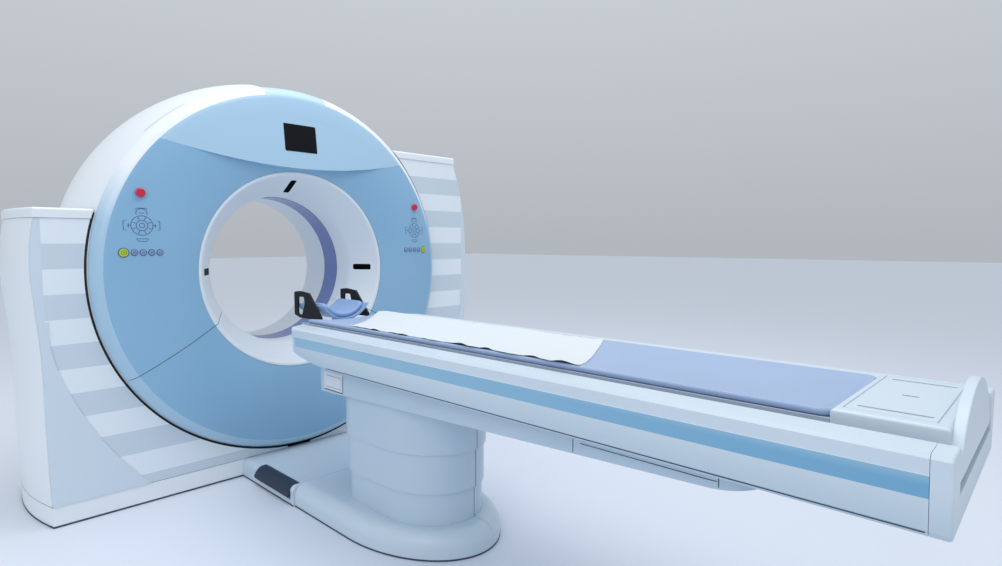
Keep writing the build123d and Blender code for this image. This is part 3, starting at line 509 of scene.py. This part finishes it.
def ribbons(name, lines, width, surface, material, body):
    """Thin strips along lines of (u, v) points, laid on a surface that is a function of both."""
    points, faces = [], []
    for line in lines:
        loop = hypot(line[0][0] - line[-1][0], line[0][1] - line[-1][1]) < 1e-9
        for i, (u, v) in enumerate(line):
            before = line[i - 1] if i else line[-2 if loop else 0]
            after = line[i + 1] if i + 1 < len(line) else line[1 if loop else -1]
            du, dv = after[0] - before[0], after[1] - before[1]
            half = width / 2 / hypot(du, dv)
            points.append(surface(u - dv * half, v + du * half))
            points.append(surface(u + dv * half, v - du * half))
            if i:
                k = len(points) - 4
                faces.append((k, k + 1, k + 3, k + 2))
    return piece(name, points, faces, material, body)


def circle(u, v, radius, first=0, last=360, steps=48):
    """Points of a circle, or of an arc between two angles in degrees."""
    angles = [radians(first + (last - first) * i / steps) for i in range(steps + 1)]
    return [(u + radius * cos(a), v + radius * sin(a)) for a in angles]


def side_plane(x):
    """A plane that looks sideways; a place on it is a depth and a height."""
    return lambda y, z: (x, y, z)


def front_plane(y):
    """A plane that looks along the bore; a place on it is an x and a height."""
    return lambda x, z: (x, y, z)


def level_plane(z):
    """A level plane; a place on it is an x and a depth."""
    return lambda x, y: (x, y, z)


def dome(x, z):
    """The point of the drum's domed front at a place across and above the bore axis."""
    off_ridge = hypot(x, z) - DOME_RIDGE
    back = DOME_ROUND - sqrt(DOME_ROUND ** 2 - off_ridge ** 2)
    return x, DOME_FRONT_Y + back - LIFT, AXIS_Z + z


def over(names, heading):
    """A function that moves a point along a heading to the first of the named nodes."""
    graph = bpy.context.evaluated_depsgraph_get()
    trees = [(BVHTree.FromObject(nodes[name], graph), nodes[name].matrix_world) for name in names]
    heading = Vector(heading).normalized()

    def land(point):
        point = Vector(point)
        hits = []
        for tree, matrix in trees:
            back = matrix.inverted()
            ray = (back.to_3x3() @ heading).normalized()
            hit = tree.ray_cast(back @ (point - heading), ray)[0]
            if hit is not None:
                hits.append(matrix @ hit)
        best = min(hits, key=lambda hit: (hit - point).dot(heading)) if hits else point
        return tuple(best - heading * LIFT)

    return land


def side_of(name, side):
    """A surface: the face of a node of the table on its left (-1) or right (1)."""
    land = over([name], (-side, 0, 0))
    return lambda y, z: land((side * 0.4, y, z))        # from clear of the table's side


def skirt(name, outline, low, high):
    """An upright dark strip on the stand, along an outline seen from above."""
    points = [(x, y, z) for x, y in outline for z in (low, high)]
    faces = [(2 * i, 2 * i + 2, 2 * i + 3, 2 * i + 1) for i in range(len(outline) - 1)]
    return piece(name, points, faces, joint_and_shade_dark, "stand")


print("piece helpers ready")

# %% [markdown]
# ## Prints on the drum
#
# On each side of the front there is a printed membrane keypad: rings with short rays, a bracket
# at each side, and a small field above and below. Its keys lie under the film, so it is only
# ink. The round keys below it are real and move, and each has a ring round it and a mark on its
# face. The marks are plain shapes without letters.

# %% Keypad prints
KEYPAD_X = 0.673
KEYPAD_Z = 0.195         # above the bore axis
PRINT_LINE = 0.0023      # width of the printed lines
KEY_RING_LINE = 0.0024
KEY_MARK_LINE = 0.0013

KEYPAD_CIRCLES = (0.038, 0.020, 0.009)
KEYPAD_RAY = (0.023, 0.035)            # a ray runs between these radii
KEYPAD_ARC = (0.047, 0.019, -15, 195)  # height, radius and angles of the field above
KEY_RING_GAP = 0.0022
KEYPAD_STROKES = (                     # lines of (x, z) points from the keypad's middle
    ((-0.010, 0.049), (0.010, 0.049)),
    ((-0.021, 0.062), (-0.014, 0.068), (0.014, 0.068), (0.021, 0.062)),
    ((-0.022, -0.052), (0.022, -0.052), (0.013, -0.062), (-0.013, -0.062), (-0.022, -0.052)),
)
KEYPAD_SIDE_STROKES = (                # drawn on the right, and mirrored on the left
    ((0.054, 0.019), (0.063, 0.017), (0.063, -0.017), (0.054, -0.019)),
    ((0.040, 0), (0.052, 0)),
    ((0.046, 0.008), (0.046, -0.008)),
)


def keypad(middle_x, middle_z):
    """The lines of one printed keypad."""
    lines = [circle(middle_x, middle_z, radius) for radius in KEYPAD_CIRCLES]
    for k in range(8):
        a = radians(45 * k + 22.5)
        lines.append([(middle_x + r * cos(a), middle_z + r * sin(a)) for r in KEYPAD_RAY])
    above, radius, first, last = KEYPAD_ARC
    lines.append(circle(middle_x, middle_z + above, radius, first, last, 24))
    for stroke in KEYPAD_STROKES:
        lines.append([(middle_x + x, middle_z + z) for x, z in stroke])
    for side in (-1, 1):
        for stroke in KEYPAD_SIDE_STROKES:
            lines.append([(middle_x + side * x, middle_z + z) for x, z in stroke])
    return lines


for side, label in ((-1, "left"), (1, "right")):
    lines = keypad(side * KEYPAD_X, KEYPAD_Z)
    ribbons(f"keypad_print_{label}", lines, PRINT_LINE, dome, print_ink, "drum")

ring_lines = []
for name in nodes:
    if name.startswith(("function_button", "start_button")):
        low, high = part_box(name)
        x, z = (low[0] + high[0]) / 2, (low[2] + high[2]) / 2
        radius = (high[0] - low[0]) / 2
        ring_lines.append(circle(x, z - AXIS_Z, radius + KEY_RING_GAP))
        # The mark is a ring with a dot on a start key, and a ring with a dash on the others.
        marks = [circle(x, z, radius * 0.55, steps=32)]
        if name.startswith("start"):
            marks.append(circle(x, z, radius * 0.12, steps=16))
        else:
            marks.append([(x - radius * 0.3, z), (x + radius * 0.3, z)])
        face = front_plane(low[1] - LIFT / 2)
        ribbons(f"{name}_mark", marks, KEY_MARK_LINE, face, dark_ink_and_shade, name)
ribbons("key_rings", ring_lines, KEY_RING_LINE, dome, print_ink, "drum")
print("prints ready")

# %% [markdown]
# ## Seams and painted shade
#
# Where covers meet, a narrow dark line shows. Along the floor, a thin dark strip round the foot,
# the bridge and the stand is painted shade where they meet the floor, and dark strips deep in the
# gap between the stand and the drum are painted shade too. The drum's front covers part at a
# slant on each side. The line under the table's long cover is its joint with the cover of the
# support beam, and that beam's cover has a joint and a hatch of its own. The lifting column's
# covers have an upright joint on the side away from the drum, and it runs on over the foot. The
# foot box has a raised plate with a fine line round it, and a dark strip of painted shade deep
# in each of its slots.

# %% Seams
FINE_SEAM = 0.0018       # widths of the lines, from here to the slots of the foot box
SEAM = 0.0020
SHELL_SEAM = 0.0022
DRUM_SEAM = 0.0024
WIDE_SEAM = 0.0030
BOX_SLOT = 0.0086
STRIP_OUT = 0.0008            # a strip stands this far out
FLOOR_SHADE_Z = (0.0, 0.006)
FOOT = (0.272, -1.165, 0.425)          # half width, depth where its rounding starts, length of that
COLUMN = (0.202, -1.275, 0.250)
BRIDGE_HALF = 0.278
BRIDGE_Y = (-0.77, -0.30)              # from the foot cover to the stand

# The foot's outline: from the bridge cover round the far end and back.
foot = [(FOOT[0] + STRIP_OUT, BRIDGE_Y[0] - 0.002)]
for i in range(49):
    a = radians(180 * i / 48)
    foot.append(((FOOT[0] + STRIP_OUT) * cos(a), FOOT[1] - (FOOT[2] + STRIP_OUT) * sin(a)))
foot.append((-FOOT[0] - STRIP_OUT, BRIDGE_Y[0] - 0.002))
# Painted shade: a thin dark strip along the floor round the foot and the bridge.
skirt("foot_floor_shade", foot, *FLOOR_SHADE_Z)
for side in (-1, 1):
    edge = side * (BRIDGE_HALF + STRIP_OUT)
    skirt(f"bridge_floor_shade_{side + 1}", [(edge, y) for y in BRIDGE_Y], *FLOOR_SHADE_Z)

STAND_SHADE_Z = (0.0, 0.007)
PLINTH_SEAM_Z = (0.0788, 0.0804)
STAND_HALF_DEPTH = 0.298
STAND_EDGES = (0.988, 1.100)           # its left and right edge, from the bore axis
STAND_BOW = 0.042                      # how far each side bows out between front and back


def stand_outline(out):
    """The stand's plan at the floor: straight front and back, bowed sides."""
    points = []
    for side, edge in zip((-1, 1), STAND_EDGES):
        for i in range(17):
            t = -1 + i / 8
            x = edge + out + STAND_BOW * (1 - t * t)
            points.append((side * x, side * t * (STAND_HALF_DEPTH + out)))
    return points + points[:1]


# Painted shade along the floor round the stand; the plinth seam above it is a real joint.
skirt("stand_floor_shade", stand_outline(STRIP_OUT), *STAND_SHADE_Z)
skirt("plinth_seam", stand_outline(STRIP_OUT / 2), *PLINTH_SEAM_Z)

SPLIT_DIP = radians(30)                # the drum's front covers part this far below level
SPLIT_RADII = [radius / 1000 for radius in range(372, 842, 6)]         # from bore to rim

fronts = [name for name in nodes if name.startswith(("front_cover", "front_funnel"))]
drum_front = over(fronts, (0, 1, 0))
for side in (-1, 1):
    line = [(side * radius * cos(SPLIT_DIP), -radius * sin(SPLIT_DIP)) for radius in SPLIT_RADII]
    ribbons(f"drum_split_{side + 1}", [line], DRUM_SEAM,
            lambda x, z: drum_front((x, 0, AXIS_Z + z)), joint_and_shade_dark, "drum")

GAP_SHADE_ROWS = ((0.8500, -0.2962), (0.8574, -0.2978), (0.8580, -0.2900))     # radius and depth
GAP_SHADE_STEPS = 90


def gap_shade(name, first, last):
    """A dark strip of painted shade deep in the gap between the stand's front cover and the drum.

    It runs between two angles round the bore axis, in degrees from +X towards +Z. It ends 1.5 mm
    off the drum. The drum is part of a ball about its own tilt axis, so that distance stays the
    same at every tilt.
    """
    points, faces = [], []
    row = len(GAP_SHADE_ROWS)
    for i in range(GAP_SHADE_STEPS + 1):
        a = radians(first + (last - first) * i / GAP_SHADE_STEPS)
        points += [(radius * cos(a), y, AXIS_Z + radius * sin(a)) for radius, y in GAP_SHADE_ROWS]
        if i:
            for n in range((i - 1) * row, i * row - 1):
                faces.append((n, n + 1, n + 1 + row, n + row))
    return piece(name, points, faces, gap_shade_black, "stand")


# Painted shade: dark strips deep in the gap between the stand and the drum.
gap_shade("gap_shade_left", 163.5, 265.9)
gap_shade("gap_shade_right", 274.1, 403.0)

# Lines on the table's sides, as points of depth and height.
BODY_LINE = [(-2.87 + 0.03 * k, 0.6135) for k in range(61)]
BEAM_TOP_Z = 0.603
BEAM_UPRIGHTS = ((-2.127, 0.543), (-2.503, 0.558))     # depth, and height of the lower end
BEAM_HATCH = [(-2.150 - 0.0175 * k, 0.5705) for k in range(21)]

beam_lines = [[(y, low + (BEAM_TOP_Z - low) * k / 14) for k in range(15)]
              for y, low in BEAM_UPRIGHTS] + [BEAM_HATCH]
for side in (-1, 1):
    ribbons(f"body_lower_seam_{side + 1}", [BODY_LINE], WIDE_SEAM,
            side_of("table_body_cover", side), joint_and_shade_dark, "table")
    ribbons(f"beam_seams_{side + 1}", beam_lines, SEAM,
            side_of("support_beam_cover", side), joint_and_shade_dark, "table")

SEAM_X = 0.030           # the column's upright joint, right of the middle
COLUMN_COVERS = (                      # body, inset of its cover, and between which heights
    ("stand", 0.0156, 0.090, 0.205),
    ("column_mid", 0.0078, 0.205, 0.345),
    ("table", 0.0, 0.345, 0.508),
)
for body, inset, low, high in COLUMN_COVERS:
    half, length = COLUMN[0] - inset, COLUMN[2] - inset
    y = COLUMN[1] - length * sqrt(1 - (SEAM_X / half) ** 2) - LIFT
    ribbons(f"column_joint_{body}", [[(low, SEAM_X), (high, SEAM_X)]], SEAM,
            lambda z, x, y=y: (x, y, z), joint_and_shade_dark, body)

BALL_RADIUS = 0.8984     # of the drum's barrel, with the lift of a seam above it


def ball(a, y):
    """The point of the drum's barrel at an angle round the bore and a depth."""
    radius = sqrt(BALL_RADIUS ** 2 - y ** 2)
    return radius * cos(a), y, AXIS_Z + radius * sin(a)


# An aged seam runs a short way along the rim of the left shell.
shell_line = [(radians(137.6 - 1.4 * k), -0.284) for k in range(11)]
ribbons("shell_seam", [shell_line], SHELL_SEAM, ball, seam_brown, "drum")

# The foot cover is split under the column's upright joint, and butts against the bridge cover,
# which butts against the stand.
COLUMN_END_Y = -1.515
BRIDGE_TOP_Z = 0.080

runs = [0.001 + 0.004 * k for k in range(17)]
foot_split = [(SEAM_X + 0.25 * run, COLUMN_END_Y - run) for run in runs]
foot_end = [(0.01 * k - 0.25, BRIDGE_Y[0] - 0.0004) for k in range(51)]
foot_top = over(["table_base_cover", "bridge_cover"], (0, 0, -1))
ribbons("foot_joints", [foot_split, foot_end], FINE_SEAM,
        lambda x, y: foot_top((x, y, 0.1)), pale_seam, "stand")
ribbons("bridge_joint", [[(x, BRIDGE_Y[1] - 0.0006) for x in (-0.262, 0.262)]], SEAM,
        level_plane(BRIDGE_TOP_Z + LIFT), joint_and_shade_dark, "stand")

BOX_TOP = 0.764
BOX_SLOT_Y = -2.797      # the middle of each slot
BOX_SLOT_Z = 0.7565      # height of the strips of painted shade in them
BOX_PLATE = ((-0.182, -2.721), (0.182, -2.721), (0.182, -2.866), (-0.182, -2.866))
BOX_SLOTS = ((-0.15, 0.053), (0.0, 0.010), (0.15, 0.053))      # x and half length

ribbons("foot_box_line", [BOX_PLATE + BOX_PLATE[:1]], FINE_SEAM,
        level_plane(BOX_TOP + LIFT), pale_seam, "tabletop")
# Painted shade: a dark strip deep in each slot.
slot_lines = [[(x, BOX_SLOT_Y - half), (x, BOX_SLOT_Y + half)] for x, half in BOX_SLOTS]
ribbons("foot_box_slot_shade", slot_lines, BOX_SLOT, level_plane(BOX_SLOT_Z), joint_and_shade_dark, "tabletop")
print("seams ready")

# %% [markdown]
# ## Mattress, head cushion and paper
#
# The soft pieces replace the plain solids of the frame. Each is a closed skin over a plan with
# rounded corners: the upper and lower faces meet in a round edge, and the middle follows the hollow
# of the tabletop. A foam pad is never quite even, so its top carries shallow dents, and a weld
# runs round it a little inside the edge.

# %% Mattress
MAT_HALF = 0.201
MAT_Y = (-2.7052, -0.7595)
MAT_BASE = 0.7455        # height of its underside at the long edges
MAT_T = 0.0168
MAT_SPARE = 0.0012       # left free under the full thickness for the dents
MAT_N = (44, 150)        # cells across and along
MAT_CORNER = 0.028       # radius of its corners in plan
MAT_EDGE = 0.0085        # radius of its round edge
HOLLOW = 0.017           # how far the tabletop's hollow lies below its edges
HOLLOW_HALF = 0.206
WELD = 0.0022            # depth of the weld and half its width
WELD_IN = 0.019          # how far it runs inside the edge


def hollow(x):
    """How far the tabletop's face hangs below its edges at a place across it."""
    return HOLLOW * (1 - min(1, abs(x) / HOLLOW_HALF) ** 2)


def rounded_plan(i, j, counts, half, y_low, y_high, radius):
    """A grid point of a plan with rounded corners, and its distance from the edge."""
    def spread(k, n, length):
        """Distance along one side, with finer steps near both ends."""
        t = k / n
        return length * (t - 0.35 * sin(2 * pi * t) / pi)

    x = spread(i, counts[0], 2 * half) - half
    y = spread(j, counts[1], y_high - y_low) + y_low
    a = radius - (half - abs(x))
    b = radius - min(y - y_low, y_high - y)
    if a > 0 and b > 0:
        shrink = max(a, b) / hypot(a, b)
        x += (a * shrink - a) * (1 if x > 0 else -1)
        y += (b * shrink - b) * (1 if y - y_low > y_high - y else -1)
        return x, y, radius - max(a, b)
    return x, y, min(half - abs(x), y - y_low, y_high - y)


def skin(name, counts, place, material, lay=lambda x, y, z: (x, y, z)):
    """A closed skin on the tabletop.

    place(i, j) gives x, y and the heights of the lower and upper face, and lay turns an x, y and
    height into the point.
    """
    across_n, along_n = counts
    points, upper, lower = [], {}, {}
    for j in range(along_n + 1):
        for i in range(across_n + 1):
            x, y, low, high = place(i, j)
            points.append(lay(x, y, high))
            upper[i, j] = lower[i, j] = len(points) - 1
            if 0 < i < across_n and 0 < j < along_n:
                points.append(lay(x, y, low))
                lower[i, j] = len(points) - 1
    faces = []
    for j in range(along_n):
        for i in range(across_n):
            ring = ((i, j), (i + 1, j), (i + 1, j + 1), (i, j + 1))
            faces.append([upper[k] for k in ring])
            faces.append([lower[k] for k in reversed(ring)])
    return piece(name, points, faces, material, "tabletop")


def edge_round(distance, radius):
    """Share of the full thickness at a distance from a rounded edge."""
    t = max(0.0, 1 - distance / radius)
    return sqrt(max(0.0, 1 - t * t))


def dents(x, y):
    """How far the pad's uneven top stands above or below its mean."""
    return 0.00055 * (sin(9 * y + 4 * x) * sin(5.3 * y) + sin(23 * x + 3 * y))


def mattress_point(i, j):
    """A place on the mattress and the heights of its lower and upper face."""
    x, y, edge = rounded_plan(i, j, MAT_N, MAT_HALF, *MAT_Y, MAT_CORNER)
    full = edge_round(edge, MAT_EDGE)
    weld = WELD * exp(-((edge - WELD_IN) / WELD) ** 2)
    middle = MAT_BASE - hollow(x) + MAT_T / 2
    upper = middle + (MAT_T / 2 - MAT_SPARE) * full - weld + dents(x, y) * min(1, edge / 0.03)
    return x, y, middle - MAT_T / 2 * full, upper


mattress = skin("mattress_pad", MAT_N, mattress_point, mattress_fabric)
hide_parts("mattress")
print("mattress", len(mattress.data.polygons), "faces")

# %% [markdown]
# ## Head cushion
#
# The cushion is a thin foam pad that lies in the round cradle of the head holder. It is planned
# flat in the same way, along its outer face, and then bent round the cradle's axis.

# %% Head cushion
CRADLE_Z = 0.868
CUSHION_R = (0.1003, 0.1213)           # radii of its inner and outer face
CUSHION_ARC = 58.0                     # half angle that it covers
CUSHION_Y = (-0.7308, -0.5242)
CUSHION_N = (36, 36)
CUSHION_CORNER = 0.030
CUSHION_EDGE = 0.011
CUSHION_DENT = (0.004, 0.05, -0.62)    # the head's dent: its depth, half its width, its middle
CUSHION_SPARE = 0.0008                 # left free under the full thickness for the wrinkles


def cushion_point(i, j):
    """A place on the flat cushion and the radii of its outer and inner face."""
    half = radians(CUSHION_ARC) * CUSHION_R[1]
    u, y, edge = rounded_plan(i, j, CUSHION_N, half, *CUSHION_Y, CUSHION_CORNER)
    full = edge_round(edge, CUSHION_EDGE)
    middle = sum(CUSHION_R) / 2
    thick = CUSHION_R[1] - CUSHION_R[0]
    depth, reach, dent_y = CUSHION_DENT
    dent = depth * exp(-(u / reach) ** 2 - ((y - dent_y) / reach) ** 2)
    wrinkle = 0.0006 * sin(70 * y + 25 * u) * min(1, edge / 0.02)
    inner = middle - (thick / 2 - CUSHION_SPARE) * full + dent + wrinkle * full
    return u, y, middle + thick / 2 * full, inner


def cradled(u, y, radius):
    """A place on the flat cushion, bent round the cradle's axis."""
    angle = u / CUSHION_R[1]
    return radius * sin(angle), y, CRADLE_Z - radius * cos(angle)


cushion = skin("head_cushion_pad", CUSHION_N, cushion_point, cushion_fabric, cradled)
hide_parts("head_cushion")
print("head cushion", len(cushion.data.polygons), "faces")

# %% [markdown]
# ## Paper sheet
#
# A sheet torn from a roll of crepe paper lies askew on the mattress. It touches the pad nearly
# everywhere, with soft buckles across it, and its left edge lifts in small waves, so that dark
# gaps open under it. At the head end it hangs over the end of the mattress.

# %% Paper
SHEET = ((0.2005, -0.706), (-0.190, -1.063), (-0.200, -2.128), (0.2005, -1.935))   # its corners
SHEET_N = (60, 200)      # cells across and along
SHEET_GAP = 0.0009       # between the sheet and the pad


def sheet_point(s, t):
    """A point of the sheet: s runs from its right edge to its left one, t from head to foot."""
    a, b, c, d = (Vector(corner) for corner in SHEET)
    x, y = a.lerp(b, s).lerp(d.lerp(c, s), t)
    # These grow from nought near the left edge, the head end and the right edge.
    left = max(0.0, (s - 0.88) / 0.12) ** 2
    head = max(0.0, (y + 0.775) / 0.075) ** 2
    right = max(0.0, (0.05 - s) / 0.05) ** 2
    # The left edge lifts where the wave is positive, and wanders a little sideways.
    wave = sin(31 * y) * sin(13 * y + 1) + 0.4 * sin(67 * y + 2)
    if 0 < t < 1:
        x += left * 0.0035 * sin(38 * y + 0.8)
    pad = MAT_BASE - hollow(x) + MAT_T - MAT_SPARE + dents(x, y)
    buckles = 0.0009 * sin(16 * y - 9 * x) * sin(21 * x + 6 * y) + 0.0004 * sin(90 * y + 30 * x)
    lift = 0.0052 * max(0.0, wave) * left + 0.0016 * max(0.0, sin(11 * y + 2)) * (s ** 3)
    return x, y, pad + SHEET_GAP + abs(buckles) + lift - 0.006 * head - 0.003 * right


sheet_points = [sheet_point(i / SHEET_N[0], j / SHEET_N[1])
                for j in range(SHEET_N[1] + 1) for i in range(SHEET_N[0] + 1)]
row = SHEET_N[0] + 1
sheet_faces = [(j * row + i, j * row + i + 1, (j + 1) * row + i + 1, (j + 1) * row + i)
               for j in range(SHEET_N[1]) for i in range(SHEET_N[0])]
layer = piece("paper_layer", sheet_points, sheet_faces, paper, "tabletop")
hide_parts("paper_sheet")
print("paper", len(layer.data.polygons), "faces")

# %% [markdown]
# ## Label plate
#
# A small bare plate sits on the left side of the table's support, just behind its nose, with
# dark lines of painted shade along its lower edge and one end. Its print is left out.

# %% Label plate
PLATE_X = -0.2203
PLATE_Y = (-1.065, -0.931)
PLATE_Z = (0.503, 0.575)
PLATE_T = 0.0012
PLATE_CORNER = 0.006     # radius of its corners
EDGE_SHADE_LINE = 0.0035       # widths of its lines
FRAME_LINE = 0.0014


def label_plate():
    """A thin plate with rounded corners that stands on a side face and looks left."""
    outline = []
    for b, c, first in ((1, 1, 0), (0, 1, 90), (0, 0, 180), (1, 0, 270)):
        y = PLATE_Y[b] + PLATE_CORNER * (1 - 2 * b)
        z = PLATE_Z[c] + PLATE_CORNER * (1 - 2 * c)
        outline += circle(y, z, PLATE_CORNER, first, first + 90, 6)
    n = len(outline)
    points = [(x, y, z) for x in (PLATE_X, PLATE_X - PLATE_T) for y, z in outline]
    faces = [tuple(reversed(range(n))), tuple(range(n, 2 * n))]
    faces += [(i, (i + 1) % n, n + (i + 1) % n, n + i) for i in range(n)]
    plate = piece("label_plate", points, faces, label_film, "table")
    plate.data.polygons.foreach_set("use_smooth", [False] * len(faces))


label_plate()
plate_face = side_plane(PLATE_X - PLATE_T - LIFT)
(near, far), (low, high) = PLATE_Y, PLATE_Z
# Painted shade: dark lines along the plate's lower edge and its end towards the foot.
ribbons("label_edge_shade", [[(near + 0.004, low + 0.003), (far - 0.004, low + 0.003)],
                       [(near + 0.003, low + 0.004), (near + 0.003, high - 0.004)]],
        EDGE_SHADE_LINE, plate_face, dark_ink_and_shade, "table")
near, far, low, high = near + 0.016, far - 0.014, low + 0.014, high - 0.014
ribbons("label_frame", [[(near, low), (far, low), (far, high), (near, high), (near, low)]],
        FRAME_LINE, plate_face, print_ink, "table")
print("label plate ready")

# %% [markdown]
# ## Floor and light
#
# The scan room is bright and even: ceiling panels light everything softly from above, so forms
# show by gentle shading and not by hard shadows. A pale floor, a pale sky that lights from all
# round and grows brighter upwards, and two large soft panels do the same. One panel hangs over
# the table, and a weaker one stands high at the left. Their level is set so that a colour looks
# in the render about as its hex code says.

# %% Stage
FLOOR_SIZE = 40          # from the middle to each side
FLOOR_Z = -0.0005
SKY_LEVEL = (0.56, 0.94)               # at the horizon and well above it

floor_mesh = bpy.data.meshes.new("floor")
signs = ((-1, -1), (1, -1), (1, 1), (-1, 1))
corners = [(x * FLOOR_SIZE, y * FLOOR_SIZE, FLOOR_Z) for x, y in signs]
floor_mesh.from_pydata(corners, [], [(0, 1, 2, 3)])
floor = bpy.data.objects.new("floor", floor_mesh)
bpy.context.collection.objects.link(floor)
floor_mesh.materials.append(plain("pale_vinyl_floor", "DFE4EE", 0.55, size=30, depth=0.0))

world = bpy.data.worlds.new("sky")
bpy.context.scene.world = world
world.use_nodes = True
sky_tree = world.node_tree
sky = sky_tree.nodes["Background"]
sky.inputs["Color"].default_value = linear("E6EDF4")
direction = axes_of(sky_tree, add(sky_tree, "ShaderNodeTexCoord").outputs["Generated"])
sky_tree.links.new(fade(sky_tree, direction["Z"], 0.0, 0.85, *SKY_LEVEL), sky.inputs["Strength"])


def panel(name, place, target, size, watts):
    """A square soft light that faces a target."""
    data = bpy.data.lights.new(name, "AREA")
    data.size = size
    data.energy = watts
    data.color = linear("FBFCFF")[:3]
    lamp = bpy.data.objects.new(name, data)
    lamp.location = place
    aim = Vector(target) - Vector(place)
    lamp.rotation_euler = aim.to_track_quat("-Z", "Y").to_euler()
    bpy.context.collection.objects.link(lamp)


panel("ceiling_panel", (0.5, -1.2, 4.6), (0, -0.7, 0.5), 3.5, 92)
panel("left_panel", (-4.2, -3.0, 3.2), (0, -0.3, 1.1), 2.5, 48)
print("lights ready")
